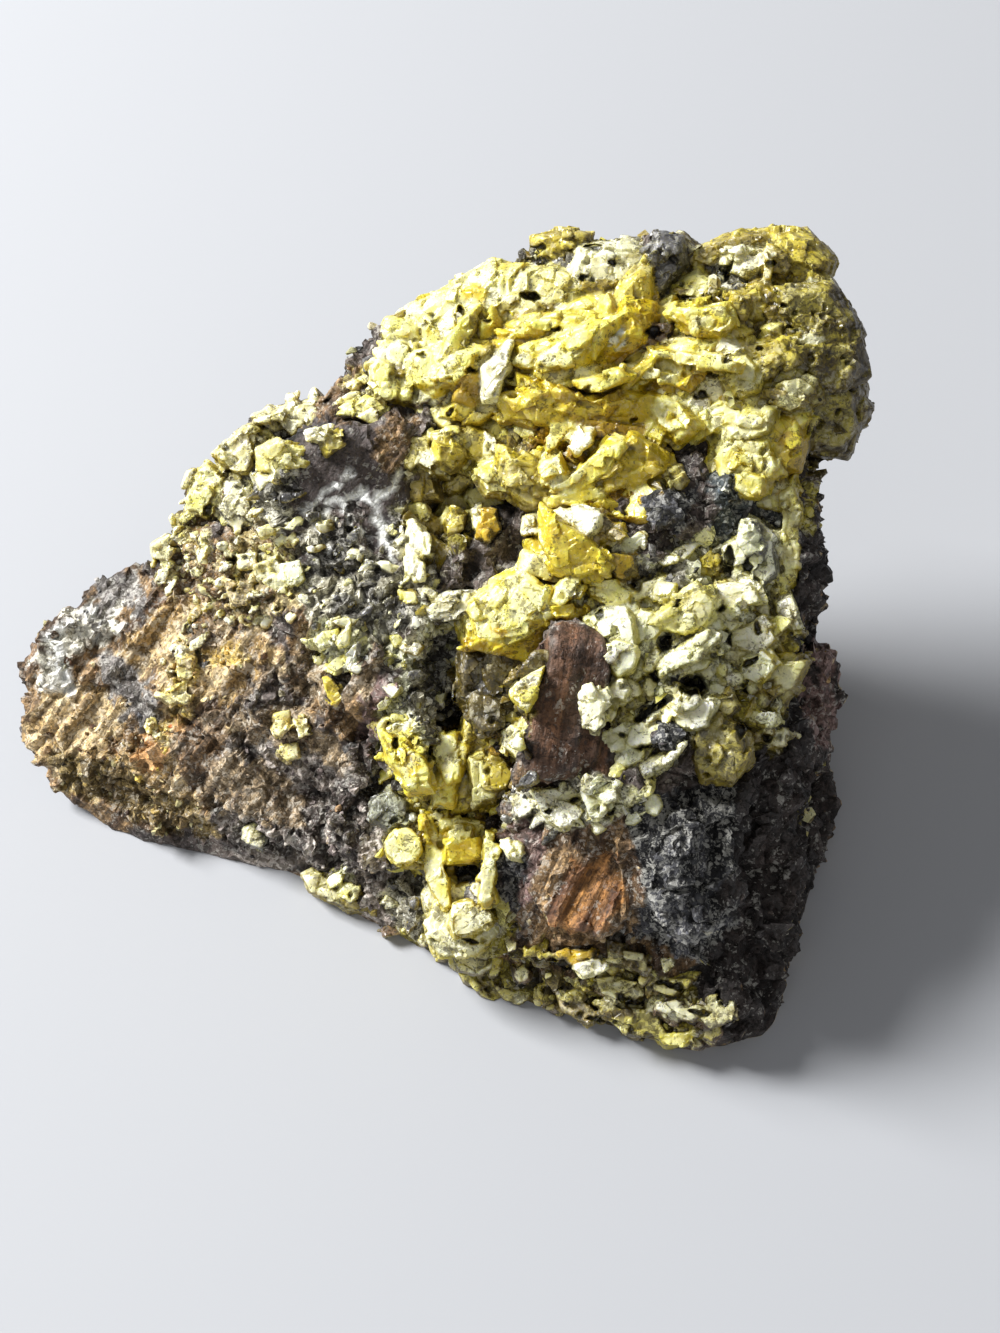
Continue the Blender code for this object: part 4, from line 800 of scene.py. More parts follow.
# where each kind shows on the display face: kind, centre, half widths, turn. Later ones lie over earlier ones.
ZONES = [
    ("brown", 140, 700, 150, 130, 0), ("tan", 110, 750, 95, 50, 25), ("tan", 205, 650, 55, 80, 20),
    ("brown", 250, 750, 80, 60, 20), ("drab", 165, 722, 40, 20, -30), ("drab", 218, 622, 12, 44, 30), ("tan", 150, 640, 20, 60, 40), ("sandy", 190, 640, 10, 40, 35),
    ("tan", 250, 690, 20, 50, 30), ("orange", 186, 722, 17, 8, 0), ("orange", 141, 746, 22, 14, -20), ("sandy", 120, 735, 30, 8, -35),
    ("tuft", 186, 688, 18, 30, 10), ("tuft", 160, 725, 9, 22, 20), ("tuft", 275, 722, 24, 26, -20), ("tuft", 215, 655, 12, 12, 0), ("tuft", 120, 775, 16, 10, 20), ("white", 80, 636, 44, 22, -32), ("white", 55, 670, 15, 32, 0),
    ("slate", 120, 600, 24, 16, -25), ("slate", 126, 690, 14, 42, -32), ("slate", 90, 620, 20, 9, -30),
    ("drab", 275, 700, 62, 34, -12), ("dark", 275, 692, 40, 18, -12), ("brown", 330, 650, 42, 90, -20), ("rim", 150, 802, 76, 22, 22),
    ("rim", 90, 775, 40, 18, 30), ("granular", 310, 810, 110, 66, 18), ("granular", 350, 880, 90, 60, 25), ("drab", 250, 790, 60, 26, 20), ("drab", 300, 745, 60, 22, 15),
    ("cream", 215, 480, 36, 60, 35), ("cream", 180, 540, 26, 40, 10),
    ("sandy", 240, 585, 66, 34, 12), ("sandy", 262, 545, 36, 26, 0), ("cream", 290, 425, 55, 22, -28),
    ("green", 288, 575, 26, 18, 0), ("dark", 345, 490, 80, 66, 0), ("grit", 270, 490, 34, 40, 20),
    ("plate", 350, 462, 62, 50, -10), ("plate", 390, 510, 24, 40, 10), ("brown", 392, 438, 20, 30, 20),
    ("grit", 330, 535, 34, 18, 10), ("grit", 350, 595, 62, 46, 15), ("drab", 335, 660, 46, 40, -20), ("green", 345, 640, 30, 22, 20),
    ("mauve", 372, 712, 14, 36, 0), ("grit", 420, 560, 26, 66, 0), ("grit", 440, 650, 34, 46, 10), ("green", 425, 600, 12, 24, 0), ("green", 405, 650, 16, 16, 0), ("green", 440, 630, 20, 10, 0),
    ("dark", 450, 590, 28, 34, 0), ("brown", 350, 400, 50, 20, -25), ("cream", 385, 385, 40, 16, -25),
    ("olive", 600, 285, 200, 60, -8), ("grit", 590, 270, 90, 26, 0), ("lemon", 470, 345, 80, 60, 0),
    ("lemon", 620, 370, 190, 90, -10), ("gold", 560, 345, 60, 16, -15), ("gold", 600, 430, 100, 50, -15),
    ("olive", 470, 460, 60, 30, 0), ("olive", 820, 330, 110, 120, 0), ("oliveshade", 850, 400, 60, 80, 10), ("olive", 835, 330, 22, 50, 0),
    ("lemon", 745, 420, 50, 50, 0), ("oliveshade", 765, 300, 30, 30, 0), ("grit", 745, 280, 40, 20, 0),
    ("dark", 665, 262, 22, 24, 0), ("brown", 660, 335, 14, 14, 0), ("black", 512, 420, 26, 14, -10),
    ("dark", 690, 440, 30, 34, 0), ("blue", 720, 490, 34, 26, 0),
    ("gold", 585, 540, 45, 60, 0), ("olive", 440, 520, 30, 30, 0), ("dark", 455, 565, 26, 28, 0),
    ("green", 700, 620, 120, 120, 0), ("blue", 740, 520, 56, 30, 0), ("dark", 655, 512, 52, 40, 0),
    ("char", 660, 500, 30, 18, 0), ("grit", 640, 580, 50, 26, 0), ("green", 640, 650, 46, 60, 0),
    ("olive", 735, 735, 42, 46, 0), ("lemon", 806, 545, 10, 75, 4), ("olive", 790, 640, 20, 70, 5),
    ("shade", 815, 560, 14, 60, 5), ("shade", 822, 760, 48, 250, 6), ("mauve", 826, 690, 14, 60, 0),
    ("dark", 680, 800, 110, 40, 0), ("char", 690, 880, 90, 100, 0), ("shade", 768, 900, 44, 150, 0),
    ("brown", 560, 850, 60, 110, 0), ("block", 566, 705, 50, 92, 3), ("brown", 590, 895, 56, 46, -12), ("rust", 592, 902, 38, 30, -20),
    ("grit", 560, 806, 60, 26, 0), ("green", 600, 802, 55, 18, -5), ("mauve", 520, 860, 18, 40, 0),
    ("green", 405, 720, 26, 50, -10), ("grit", 425, 700, 18, 40, -10), ("lemon", 440, 810, 46, 66, 8), ("oliveshade", 494, 690, 40, 60, 0),
    ("gold", 470, 770, 34, 50, 0), ("lemon", 408, 765, 20, 36, -8), ("black", 466, 872, 22, 16, 0),
    ("black", 418, 880, 12, 16, 0), ("black", 512, 765, 6, 36, 12), ("olive", 455, 930, 60, 46, 25),
    ("grit", 440, 905, 60, 36, 30), ("olive", 600, 990, 125, 40, 14), ("oliveshade", 560, 975, 50, 20, 15),
    ("brown", 620, 950, 80, 14, 10), ("lemon", 690, 1036, 34, 9, 0), ("shade", 750, 990, 46, 60, 0),
    ("char", 505, 870, 16, 36, 0), ("black", 470, 503, 48, 15, -6), ("black", 550, 516, 12, 26, 10),
    ("gold", 620, 470, 60, 26, -20), ("black", 688, 682, 10, 9, 0), ("black", 635, 705, 16, 8, -30),
    ("char", 672, 735, 18, 16, 0), ("black", 283, 439, 20, 9, 10), ("green", 335, 890, 16, 10, 20),
    ("brown", 560, 955, 60, 9, 12), ("brown", 640, 1000, 60, 8, 14), ("oliveshade", 540, 1000, 40, 8, 10),
    ("olive", 450, 955, 36, 9, 30),
]


# white veins: from, to, width in the drawing
VEINS = [
    ((322, 495), (345, 478), 2.6), ((345, 478), (352, 462), 2.0), ((330, 505), (360, 492), 2.6), ((360, 492), (372, 505), 2.6),
    ((372, 505), (392, 488), 2.2), ((392, 488), (398, 470), 1.8), ((372, 505), (385, 530), 3.0), ((385, 530), (388, 556), 3.4),
    ((330, 505), (318, 530), 2.6), ((345, 500), (350, 525), 1.8), ((360, 492), (352, 470), 1.6), ((318, 530), (330, 548), 2.2),
    ((300, 512), (322, 495), 2.2), ((352, 525), (372, 540), 1.8), ((398, 470), (410, 462), 1.6), ((60, 628), (88, 612), 4.0),
    ((88, 612), (108, 600), 3.0), ((58, 650), (70, 690), 5.0), ((50, 640), (62, 628), 5.0), ((98, 622), (92, 640), 3.0),
]


def carve(mesh):
    """Holes and crevices, sunk along the line of sight."""
    co, no = get_co(mesh), get_no(mesh)
    to_eye = nE - co
    to_eye /= np.linalg.norm(to_eye, axis=1)[:, None]
    facing = smooth((no * to_eye).sum(1), 0.0, 0.35)
    px, py = layout(co)
    wx, wy = fbm(co, 4.0, 31, 3) * 5, fbm(co, 4.0, 41, 3) * 5
    sunk = np.zeros(len(co))
    for x, y, rx, ry, turn, depth in HOLES:
        a = math.radians(turn)
        dx, dy = px + wx - x, py + wy - y
        r = np.sqrt(((dx * math.cos(a) + dy * math.sin(a)) / rx) ** 2 + ((-dx * math.sin(a) + dy * math.cos(a)) / ry) ** 2)
        sunk = np.maximum(sunk, depth * (1 - smooth(r, 0.55, 1.25)))
    set_co(mesh, co - to_eye * (sunk * facing)[:, None])


def vugs(px, py):
    """How far inside a vug each place of the drawing is, from 0 to 1, and the vug's depth there in mm."""
    flat = np.stack([px, py, px * 0], axis=1) / 10
    wx, wy = fbm(flat, 0.8, 291, 2) * 2.5, fbm(flat, 0.8, 295, 2) * 2.5
    within, sunk = np.zeros(len(px)), np.zeros(len(px))
    for x, y, rx, ry, turn, depth in VUGS:
        near = np.nonzero((np.abs(px - x) < 2 * max(rx, ry)) & (np.abs(py - y) < 2 * max(rx, ry)))[0]
        a = math.radians(turn)
        dx, dy = (px + wx)[near] - x, (py + wy)[near] - y
        r = np.sqrt(((dx * math.cos(a) + dy * math.sin(a)) / rx) ** 2 + ((-dx * math.sin(a) + dy * math.cos(a)) / ry) ** 2)
        here = 1 - smooth(r, 0.70, 1.15)
        within[near], sunk[near] = np.maximum(within[near], here), np.maximum(sunk[near], depth * here)
    return within, sunk


# lie of the fibres: right of this place in the drawing they run this way
LIES = [(-999, (-0.62, 0.78)), (440, (-0.16, 0.99)), (620, (0.05, 1.0))]


def combed(co, px, py):
    """Across the fibres, along them (squeezed), and in depth, in mm: noise over these comes out in streaks."""
    out = np.zeros((len(co), 3))
    depth = (co - nE) @ nF
    for start, (dx, dy) in LIES:
        if start == 440:
            dx, dy = np.where(py > 850, -0.45, dx), np.where(py > 850, 0.89, dy)
        across, along = (px * dy - py * dx) / 10, (px * dx + py * dy) / 10
        some = px >= start
        out[some] = np.stack([across, along * 0.07, depth * 0.25], axis=1)[some]
    return out


def zone_fields(co, no):
    """Colour, specks, grit height and fibre for points of the rock."""
    px, py = layout(co)
    to_eye = nE - co
    to_eye /= np.linalg.norm(to_eye, axis=1)[:, None]
    seen = (no * to_eye).sum(1)
    n = len(co)
    names = list(KINDS)
    main = np.array([lin(KINDS[k][0]) for k in names])
    second = np.array([lin(KINDS[k][1]) for k in names])
    other = np.array([KINDS[k][2:] for k in names])
    # round the back, where the picture can't see: dark and brown rock with some crust
    a, b = fbm(co, 16.0, 51, 3), fbm(co, 12.0, 57, 3)
    kind = np.full(n, names.index("dark"))
    kind[a > 0.25] = names.index("brown")
    kind[a < -0.45] = names.index("char")
    kind[(b > 0.45) & (co[:, 2] > 3)] = names.index("grit")
    kind[(b > 0.62) & (co[:, 2] > 8)] = names.index("olive")
    kind[(a > 0.3) & (b < -0.2)] = names.index("tan")
    height = co[:, 2] - 30 + 6 * a
    kind[(height > 6) & (b > -0.3)] = names.index("olive")
    kind[(height > 10) & (b > 0.1)] = names.index("lemon")
    front = seen + 0.15 * fbm(co, 5.0, 61, 3) > -0.12
    warp_x = fbm(co, 5.0, 71, 4) * 14 + fbm(co, 1.4, 77, 3) * 8
    warp_y = fbm(co, 5.0, 81, 4) * 14 + fbm(co, 1.4, 87, 3) * 8
    x, y = px + warp_x, py + warp_y
    fkind = np.full(n, names.index("dark"))
    for name, cx, cy, rx, ry, turn in ZONES:
        t = math.radians(turn)
        dx, dy = x - cx, y - cy
        inside = ((dx * math.cos(t) + dy * math.sin(t)) / rx) ** 2 + ((-dx * math.sin(t) + dy * math.cos(t)) / ry) ** 2 < 1
        fkind[inside] = names.index(name)
    kind = np.where(front, fkind, kind)
    fibre = other[kind][:, 3]
    mix = 0.5 + 0.5 * fbm(co, 2.5, 91, 4) * (1 - 0.6 * fibre) + 0.8 * fibre * fbm(combed(co, px, py), 1.2, 95, 4)
    mix = np.clip(mix, 0, 1)[:, None]
    patchy = np.isin(kind, [names.index(k) for k in ("grit", "green", "cream", "sandy", "granular", "white", "char")])
    mix = np.where(patchy[:, None], smooth(mix, 0.36, 0.66), mix)
    colour = main[kind] * (1 - mix) + second[kind] * mix
    # white fibrous veins branching over the dark plate
    veins = np.zeros(n)
    stray_x, stray_y, broken = fbm(co, 1.5, 64, 3) * 3, fbm(co, 1.5, 67, 3) * 3, smooth(fbm(co, 1.2, 68, 2), -0.55, -0.25)
    for (x0, y0), (x1, y1), wide in VEINS:
        along = np.clip(((px - x0) * (x1 - x0) + (py - y0) * (y1 - y0)) / ((x1 - x0) ** 2 + (y1 - y0) ** 2), 0, 1)
        gap = np.hypot(px + stray_x - x0 - along * (x1 - x0), py + stray_y - y0 - along * (y1 - y0))
        veins = np.maximum(veins, (1 - smooth(gap, wide * 0.9, wide * 1.8)) * broken)
    veins = np.where(front, veins, 0)[:, None] * 0.95
    colour = colour * (1 - veins) + lin("ECEDE8") * veins
    extra = other[kind]
    extra[:, (0, 3)] *= 1 - 0.8 * veins
    # painted shade: the vugs darkened, with fewer light specks and less grit
    holes = np.where(front, vugs(px, py)[0], 0)[:, None]
    colour = colour * (1 - 0.85 * holes)
    extra[:, (1, 2)] *= 1 - holes
    return colour, extra, kind, names, px, py, seen


def skin():
    rock = rough_form()
    tree = tree_of(rock.data)
    pieces = [rock.data.copy()]
    for i, (outline, lift, depth, lean) in enumerate(CHUNKS):
        pieces.append(lump_hull(tree, ("", "P", outline, lift, depth, lean), f"rock{i}", 3)[0])
    bpy.data.objects.remove(rock, do_unlink=True)
    rock = joined(pieces, "host_rock_skin")
    remesh(rock, 0.55)
    carve(rock.data)
    remesh(rock, 0.28)
    mesh = rock.data
    co, no = get_co(mesh), get_no(mesh)
    edges = edges_of(mesh)
    colour, other, kind, names, px, py, seen = zone_fields(co, no)
    grit, fibre = other[:, 2], other[:, 3]
    for _ in range(4):
        grit = neighbour_mean(grit, edges, len(co))
        fibre = neighbour_mean(fibre, edges, len(co))
    moved = facets(co, 6.0, 101) * 1.1 + facets(co, 2.6, 111) * 0.9 + facets(co, 1.2, 115) * 0.45 + fbm(co, 3.0, 121, 4) * 0.15
    f1, f2, number, _ = cells(co + np.stack([fbm(co, 1.0, 131, 2), fbm(co, 1.0, 137, 2), fbm(co, 1.0, 139, 2)], 1) * 0.15, 1.0, 141)
    grains = (0.55 - f1) * 1.6 + (number - 0.5) * 0.9
    lines = fbm(combed(co, px, py), 0.9, 151, 3)
    massive = np.array([1.0 if k in ("lemon", "gold", "olive", "oliveshade") else 0.6 if k in ("green", "cream") else 0.0
                        for k in names])[kind]
    for _ in range(6):
        massive = neighbour_mean(massive, edges, len(co))
    plain = np.array([1.0 if k in ("plate", "block") else 0.0 for k in names])[kind]
    for _ in range(6):
        plain = neighbour_mean(plain, edges, len(co))
    moved *= 1 - 0.75 * plain
    moved *= 1 - 0.60 * smooth(fibre, 0.5, 0.9)
    moved += massive * (facets(co, 3.4, 161) * 2.0 + facets(co, 1.7, 165) * 1.1 - moved * 0.5)
    moved += grit * (1 - 0.7 * massive) * grains + fibre * (0.42 - 0.24 * plain) * lines
    moved -= 0.7 * smooth(px, 832, 862) * (1 - smooth(py, 460, 500)) * smooth(seen, -0.5, 0.0)
    moved *= 0.15 + 0.85 * smooth(co[:, 2], 0.3, 3.0)
    to_eye = nE - co
    to_eye /= np.linalg.norm(to_eye, axis=1)[:, None]
    sunk = vugs(px, py)[1] * smooth(seen, 0.0, 0.3) * smooth(co[:, 2], 2.0, 4.0)
    set_co(mesh, co + no * moved[:, None] - to_eye * sunk[:, None])
    bm = bmesh.new()
    bm.from_mesh(mesh)
    cut = bmesh.ops.bisect_plane(bm, geom=bm.verts[:] + bm.edges[:] + bm.faces[:], dist=1e-4, plane_co=(0, 0, 0),
                                 plane_no=(0, 0, -1), clear_outer=True)
    rim = [g for g in cut["geom_cut"] if isinstance(g, bmesh.types.BMEdge)]
    bmesh.ops.holes_fill(bm, edges=rim, sides=0)
    bmesh.ops.triangulate(bm, faces=bm.faces[:])
    bm.to_mesh(mesh)
    bm.free()
    largest_shell(rock)
    decimate(rock, 175000)
    return rock


# ---------------------------------------------------------------- crystals in fine form

# small crystals between the drawn ones: spacing and size in the drawing, their face tones (painted light, for faces
# turned to the light), their side tones (painted shade, for faces turned from it)
BETWEEN = {
    "lemon": (22, 14, 24, ("lemonpale", "lemon", "lemonfrost", "lemon", "cream", "oliveyel"), ("gold", "olive")),
    "gold": (22, 14, 24, ("lemon", "gold", "lemonpale", "lemon", "gold"), ("gold", "amber")),
    "olive": (22, 13, 22, ("oliveyel", "olivepale", "palegrit", "lemonpale", "lemonfrost", "olive"), ("olive", "brownolive")),
    "oliveshade": (26, 11, 19, ("olive", "brownolive", "oliveyel"), ("brownolive", "olivedark")),
    "green": (14, 7, 13, ("greenwhite", "whitegrit", "lemonpale", "creamgrit", "palegrit", "greenwhite"), ("olivepale", "palegrit", "olive")),
    "cream": (11, 4.5, 8.5, ("crustpale", "cream", "creamgrit", "crustpale", "lemonpale"), ("crustgold", "tanpale", "brown")),
    "grit": (17, 4, 9, ("whitegrit", "creamgrit", "darkrock", "palegrit", "greyrock"), ("greyrock", "darkrock", "olive")),
    "sandy": (11, 3.5, 7.5, ("creamgrit", "crustpale", "crustpale", "tanpale", "creamgrit"), ("tanpale", "brown", "crustgold")),
}


STRIP_FACES = ("olivestrip", "palestrip", "creamgrit", "olivestrip", "brown", "oliveyel", "palestrip")


TOP_ZONES = [(name, cx, cy, rx, ry, math.cos(math.radians(turn)), math.sin(math.radians(turn)), max(rx, ry))
             for name, cx, cy, rx, ry, turn in reversed(ZONES)]


def zone_at(x, y):
    for name, cx, cy, rx, ry, c, w, reach in TOP_ZONES:
        dx, dy = x - cx, y - cy
        if abs(dx) < reach and abs(dy) < reach and ((dx * c + dy * w) / rx) ** 2 + ((dy * c - dx * w) / ry) ** 2 < 1:
            return name
    return "dark"


def inside(x, y, outline):
    within = False
    for (x0, y0), (x1, y1) in zip(outline, outline[1:] + outline[:1]):
        if (y0 > y) != (y1 > y) and x < (x1 - x0) * (y - y0) / (y1 - y0) + x0:
            within = not within
    return within


def between(tree):
    """Small crystals wherever a crystalline zone of the display face has none drawn."""
    drawn = []
    for spec in LUMPS:
        left, top, scale = SHEETS[spec[1]]
        outline = [(left + x / scale, top + y / scale) for x, y in spec[2]]
        drawn.append((spec[0], outline, sum(p[0] for p in outline) / len(outline), sum(p[1] for p in outline) / len(outline),
                      min(p[0] for p in outline), max(p[0] for p in outline), min(p[1] for p in outline),
                      max(p[1] for p in outline)))
    rand = random.Random("between")
    placed, out = [], []
    for _ in range(60000):
        x, y = rand.uniform(60, 850), rand.uniform(230, 1045)
        kind = zone_at(x + rand.uniform(-8, 8), y + rand.uniform(-8, 8))
        if kind not in BETWEEN:
            continue
        spacing, small, large, faces, sides = BETWEEN[kind]
        if 375 < x < 505 and 640 < y < 925:
            spacing, small, large = 16, 4, 9
        if y > 925:
            spacing, small, large, faces, sides = 15, 5, 10, STRIP_FACES, ("brownolive", "brown", "olive")
        if any((x - px) ** 2 + (y - py) ** 2 < spacing * spacing for px, py in placed):
            continue
        if any(x0 < x < x1 and y0 < y < y1 and inside(x, y, outline) for _, outline, _, _, x0, x1, y0, y1 in drawn):
            continue
        hit, normal, _, _ = tree.ray_cast(EYE, sight(x, y))
        if hit is None or normal.dot(-sight(x, y)) < 0.25 or hit.z < 1.5 or (x < 240 and y > 690):
            continue
        if (x > 790 and y > 430) or (x > 655 and 755 < y < 930):
            continue
        if x > 770:
            large = min(large, 13)
        if any((x - vx) ** 2 + (y - vy) ** 2 < (min(rx, ry) + 4) ** 2 for vx, vy, rx, ry, _, _ in VUGS if rx > 4):
            continue
        if y < 330 and (normal.dot(-sight(x, y)) < 0.4 or tree.ray_cast(EYE, sight(x - 6, y - 12))[0] is None):
            continue
        placed.append((x, y))
        size, turn, long = rand.uniform(small, large), rand.gauss(-0.5, 0.6), rand.uniform(1.1, 2.0)
        count = rand.randint(4, 6)
        outline = []
        for k in range(count):
            a = 2 * math.pi * (k + rand.uniform(-0.25, 0.25)) / count
            r = size * rand.uniform(0.8, 1.15)
            u, v = r * math.cos(a) * long, r * math.sin(a) / math.sqrt(long)
            outline.append((x + u * math.cos(turn) - v * math.sin(turn), y + u * math.sin(turn) + v * math.cos(turn)))
        group = min(drawn, key=lambda d: (d[2] - x) ** 2 + (d[3] - y) ** 2)[0]
        lean = (rand.uniform(-0.45, 0.35), rand.uniform(-0.35, 0.45))
        out.append((group, "P", outline, rand.uniform(0.0, 0.75), 2.5, lean, rand.choice(faces), rand.choice(sides)))
    return out


# direction towards the window light: faces turned to it are painted lighter, faces turned from it darker
LIGHT_WARD = np.array(tuple((-FORWARD * 0.55 - RIGHT * 0.45 + Vector((0, 0, 1)) * 0.60).normalized()))


def cleaved(specs):
    """Each drawn crystal with the smaller tilted slabs that stand on its face, so that it breaks in steps."""
    out = []
    for index, spec in specs:
        group, sheet, outline, lift, depth, lean, face, body = spec
        out.append((f"{index}", spec))
        if group == "bead" or (group == "block" and face == "gold"):
            continue
        rand = random.Random(f"slab{index}")
        scale = SHEETS[sheet][2]
        cx = sum(p[0] for p in outline) / len(outline)
        cy = sum(p[1] for p in outline) / len(outline)
        span = 0.0
        for i in range(len(outline)):
            (x0, y0), (x1, y1) = outline[i - 1], outline[i]
            span += x0 * y1 - x1 * y0
        size = math.sqrt(abs(span) / 2) / scale / 10
        for k in range(max(2, min(7, int(size * size * 0.40)))):
            ox, oy = rand.choice(outline)
            reach = rand.uniform(0.15, 0.75)
            mx, my = cx + (ox - cx) * reach, cy + (oy - cy) * reach
            small = rand.uniform(0.42, 0.70)
            turn = rand.uniform(-0.5, 0.5)
            c, w = math.cos(turn), math.sin(turn)
            narrow = rand.uniform(0.6, 1.0)
            shape = []
            for x, y in outline:
                dx, dy = (x - cx) * small, (y - cy) * small
                shape.append((mx + dx * c - dy * w * narrow, my + dx * w + dy * c * narrow))
            tilt = (lean[0] + rand.uniform(-0.34, 0.34), lean[1] + rand.uniform(-0.34, 0.34))
            tone = face if rand.random() < 0.7 else rand.choice([body, "lemonpale" if face in ("lemon", "lemonfrost", "oliveyel") else face])
            out.append((f"{index}.{k}", (group, sheet, shape, lift + rand.uniform(-0.35, 0.55), 2.5, tilt, tone, body)))
    return out


def nearest_lump(co, made):
    """Which crystal each point belongs to, how far outside its planes it lies, and the same for the next one."""
    best = np.full(len(co), 1e9)
    following = np.full(len(co), 1e9)
    lump = np.zeros(len(co), dtype=int)
    order = np.argsort(co[:, 0])
    xs = co[order, 0]
    for i, (_, planes, (low, high)) in enumerate(made):
        some = order[np.searchsorted(xs, low[0]):np.searchsorted(xs, high[0])]
        some = some[((co[some] > low) & (co[some] < high)).all(axis=1)]
        if not len(some):
            continue
        gap = (co[some] @ planes[:, :3].T - planes[:, 3]).max(axis=1)
        closer = gap < best[some]
        following[some] = np.where(closer, best[some], np.minimum(following[some], gap))
        best[some[closer]], lump[some[closer]] = gap[closer], i
    return best, lump, following


def level(obj, height):
    """Cuts the object off flat at a height, and closes it."""
    mesh = obj.data
    if get_co(mesh)[:, 2].min() >= height:
        return
    bm = bmesh.new()
    bm.from_mesh(mesh)
    cut = bmesh.ops.bisect_plane(bm, geom=bm.verts[:] + bm.edges[:] + bm.faces[:], dist=1e-4, plane_co=(0, 0, height),
                                 plane_no=(0, 0, -1), clear_outer=True)
    rim = [g for g in cut["geom_cut"] if isinstance(g, bmesh.types.BMEdge)]
    bmesh.ops.holes_fill(bm, edges=rim, sides=0)
    bmesh.ops.triangulate(bm, faces=bm.faces[:])
    bm.to_mesh(mesh)
    bm.free()


def crystals(group, specs, tree):
    """All lumps of one group as one grown-together piece, coloured lump by lump."""
    node = GROUPS[group]
    specs = cleaved([p for p in specs if isinstance(p[0], int)]) + [p for p in specs if not isinstance(p[0], int)]
    made = [lump_hull(tree, spec, index, 4) for index, spec in specs]
    obj = joined([m[0] for m in made], node + "_fine")
    remesh(obj, 0.17)
    mesh = obj.data
    co, no = get_co(mesh), get_no(mesh)
    steps = facets(co, 2.3, 211) * 0.40 + facets(co, 1.1, 221) * 0.12 + fbm(co, 0.7, 231, 3) * 0.02
    best, lump, following = nearest_lump(co, made)
    vuggy = np.array([TONES[spec[6]][2] for _, spec in specs])[lump]
    seam = (1 - smooth(following - best, 0.05, 0.28)) * smooth(fbm(co, 2.2, 271, 2), -0.1, 0.4)
    f1, f2, number, _ = cells(co + np.stack([fbm(co, 1.2, 261, 2), fbm(co, 1.2, 263, 2), fbm(co, 1.2, 265, 2)], 1) * 0.3, 1.15, 267)
    pit = (number < vuggy * 0.9 - 0.04) * (1 - smooth(f1, 0.12, 0.46))
    steps = steps - pit * 0.65 - seam * 0.14
    to_eye = nE - co
    to_eye /= np.linalg.norm(to_eye, axis=1)[:, None]
    sunk = vugs(*layout(co))[1] * smooth((no * to_eye).sum(1), 0.0, 0.3)
    set_co(mesh, co + no * steps[:, None] - to_eye * sunk[:, None])
    level(obj, 0.05)
    decimate(obj, TRIANGLES[group])
    mesh = obj.data
    co, no = get_co(mesh), get_no(mesh)
    edges = edges_of(mesh)
    best, lump, following = nearest_lump(co, made)
    seam = (1 - smooth(following - best, 0.04, 0.22)) * smooth(fbm(co, 2.2, 271, 2), -0.1, 0.4)
    number = np.array([random.Random(f"tone{index}").random() for index, _ in specs])[lump]
    # painted light and shade: faces turned to the light take the face tone, the rest the side tone
    lit = (no @ LIGHT_WARD) + 0.22 * fbm(co, 1.1, 201, 3) + 0.25 * (number - 0.5)
    top = smooth(lit, 0.36, 0.68)
    upper = [TONES[spec[6]] for _, spec in specs]
    lower = [TONES[spec[7]] for _, spec in specs]

    def pick(table, field):
        return np.array([t[field] for t in table])[lump]

    blend = np.clip(0.45 + 0.7 * fbm(co, 1.1, 251, 4), 0, 1)[:, None]
    face = pick(upper, 0) * (1 - blend) + pick(upper, 1) * blend
    # the side tone darkened and deepened: painted shade
    body = (pick(lower, 0) * (1 - blend) + pick(lower, 1) * blend) * (0.80, 0.785, 0.56)
    colour = face * top[:, None] + body * (1 - top[:, None])
    # painted highlight: the best-lit faces turn paler
    lit_paling_share = np.array([LIT_PALING.get(spec[6], 1.0) for _, spec in specs])[lump]
    painted_lit_paling = (lit_paling_share * smooth(lit, 0.60, 0.95) * (0.07 + 0.48 * smooth(fbm(co, 1.8, 281, 3), -0.15, 0.25)))[:, None]
    bright = colour.max(axis=1)[:, None]
    colour = colour * (1 - painted_lit_paling) + bright * np.array((1.0, 0.99, 0.68)) * painted_lit_paling
    # the sunk pits darkened: painted shade; the seams between crystals darkened as dark joints
    vuggy = pick(upper, 2)
    f1, f2, number, _ = cells(co + np.stack([fbm(co, 1.2, 261, 2), fbm(co, 1.2, 263, 2), fbm(co, 1.2, 265, 2)], 1) * 0.3, 1.15, 267)
    pit = ((number < vuggy * 0.9 - 0.04) * (1 - smooth(f1, 0.20, 0.48)))[:, None]
    colour = colour * (1 - 0.72 * pit) * (1 - seam[:, None] * np.array((0.36, 0.41, 0.66)))
    shade = np.array([random.Random(f"shade{index}").uniform(0.88, 1.12) for index, _ in specs])[lump]
    # painted shade: the vugs darkened
    holes = vugs(*layout(co))[0]
    colour = colour * (shade * (1 - 0.90 * holes))[:, None]
    # painted highlight: raised ridges lighter
    ridge = stand(co, no, edges, 6) * (1 - holes)
    lit = smooth(ridge, 0.04, 0.22)[:, None] * 0.35
    colour = colour * (1 - lit) + np.minimum(1, colour * 1.2 + 0.10) * lit
    return {"obj": obj, "node": node, "made": made, "tone": colour, "ridge": ridge,
            "dark": pick(upper, 2) * top + pick(lower, 2) * (1 - top),
            "light": (pick(upper, 3) * top + pick(lower, 3) * (1 - top)) * (1 - holes),
            "clear": pick(upper, 4) * top + pick(lower, 4) * (1 - top)}


# ---------------------------------------------------------------- loose grit: broken grains seated on the surface

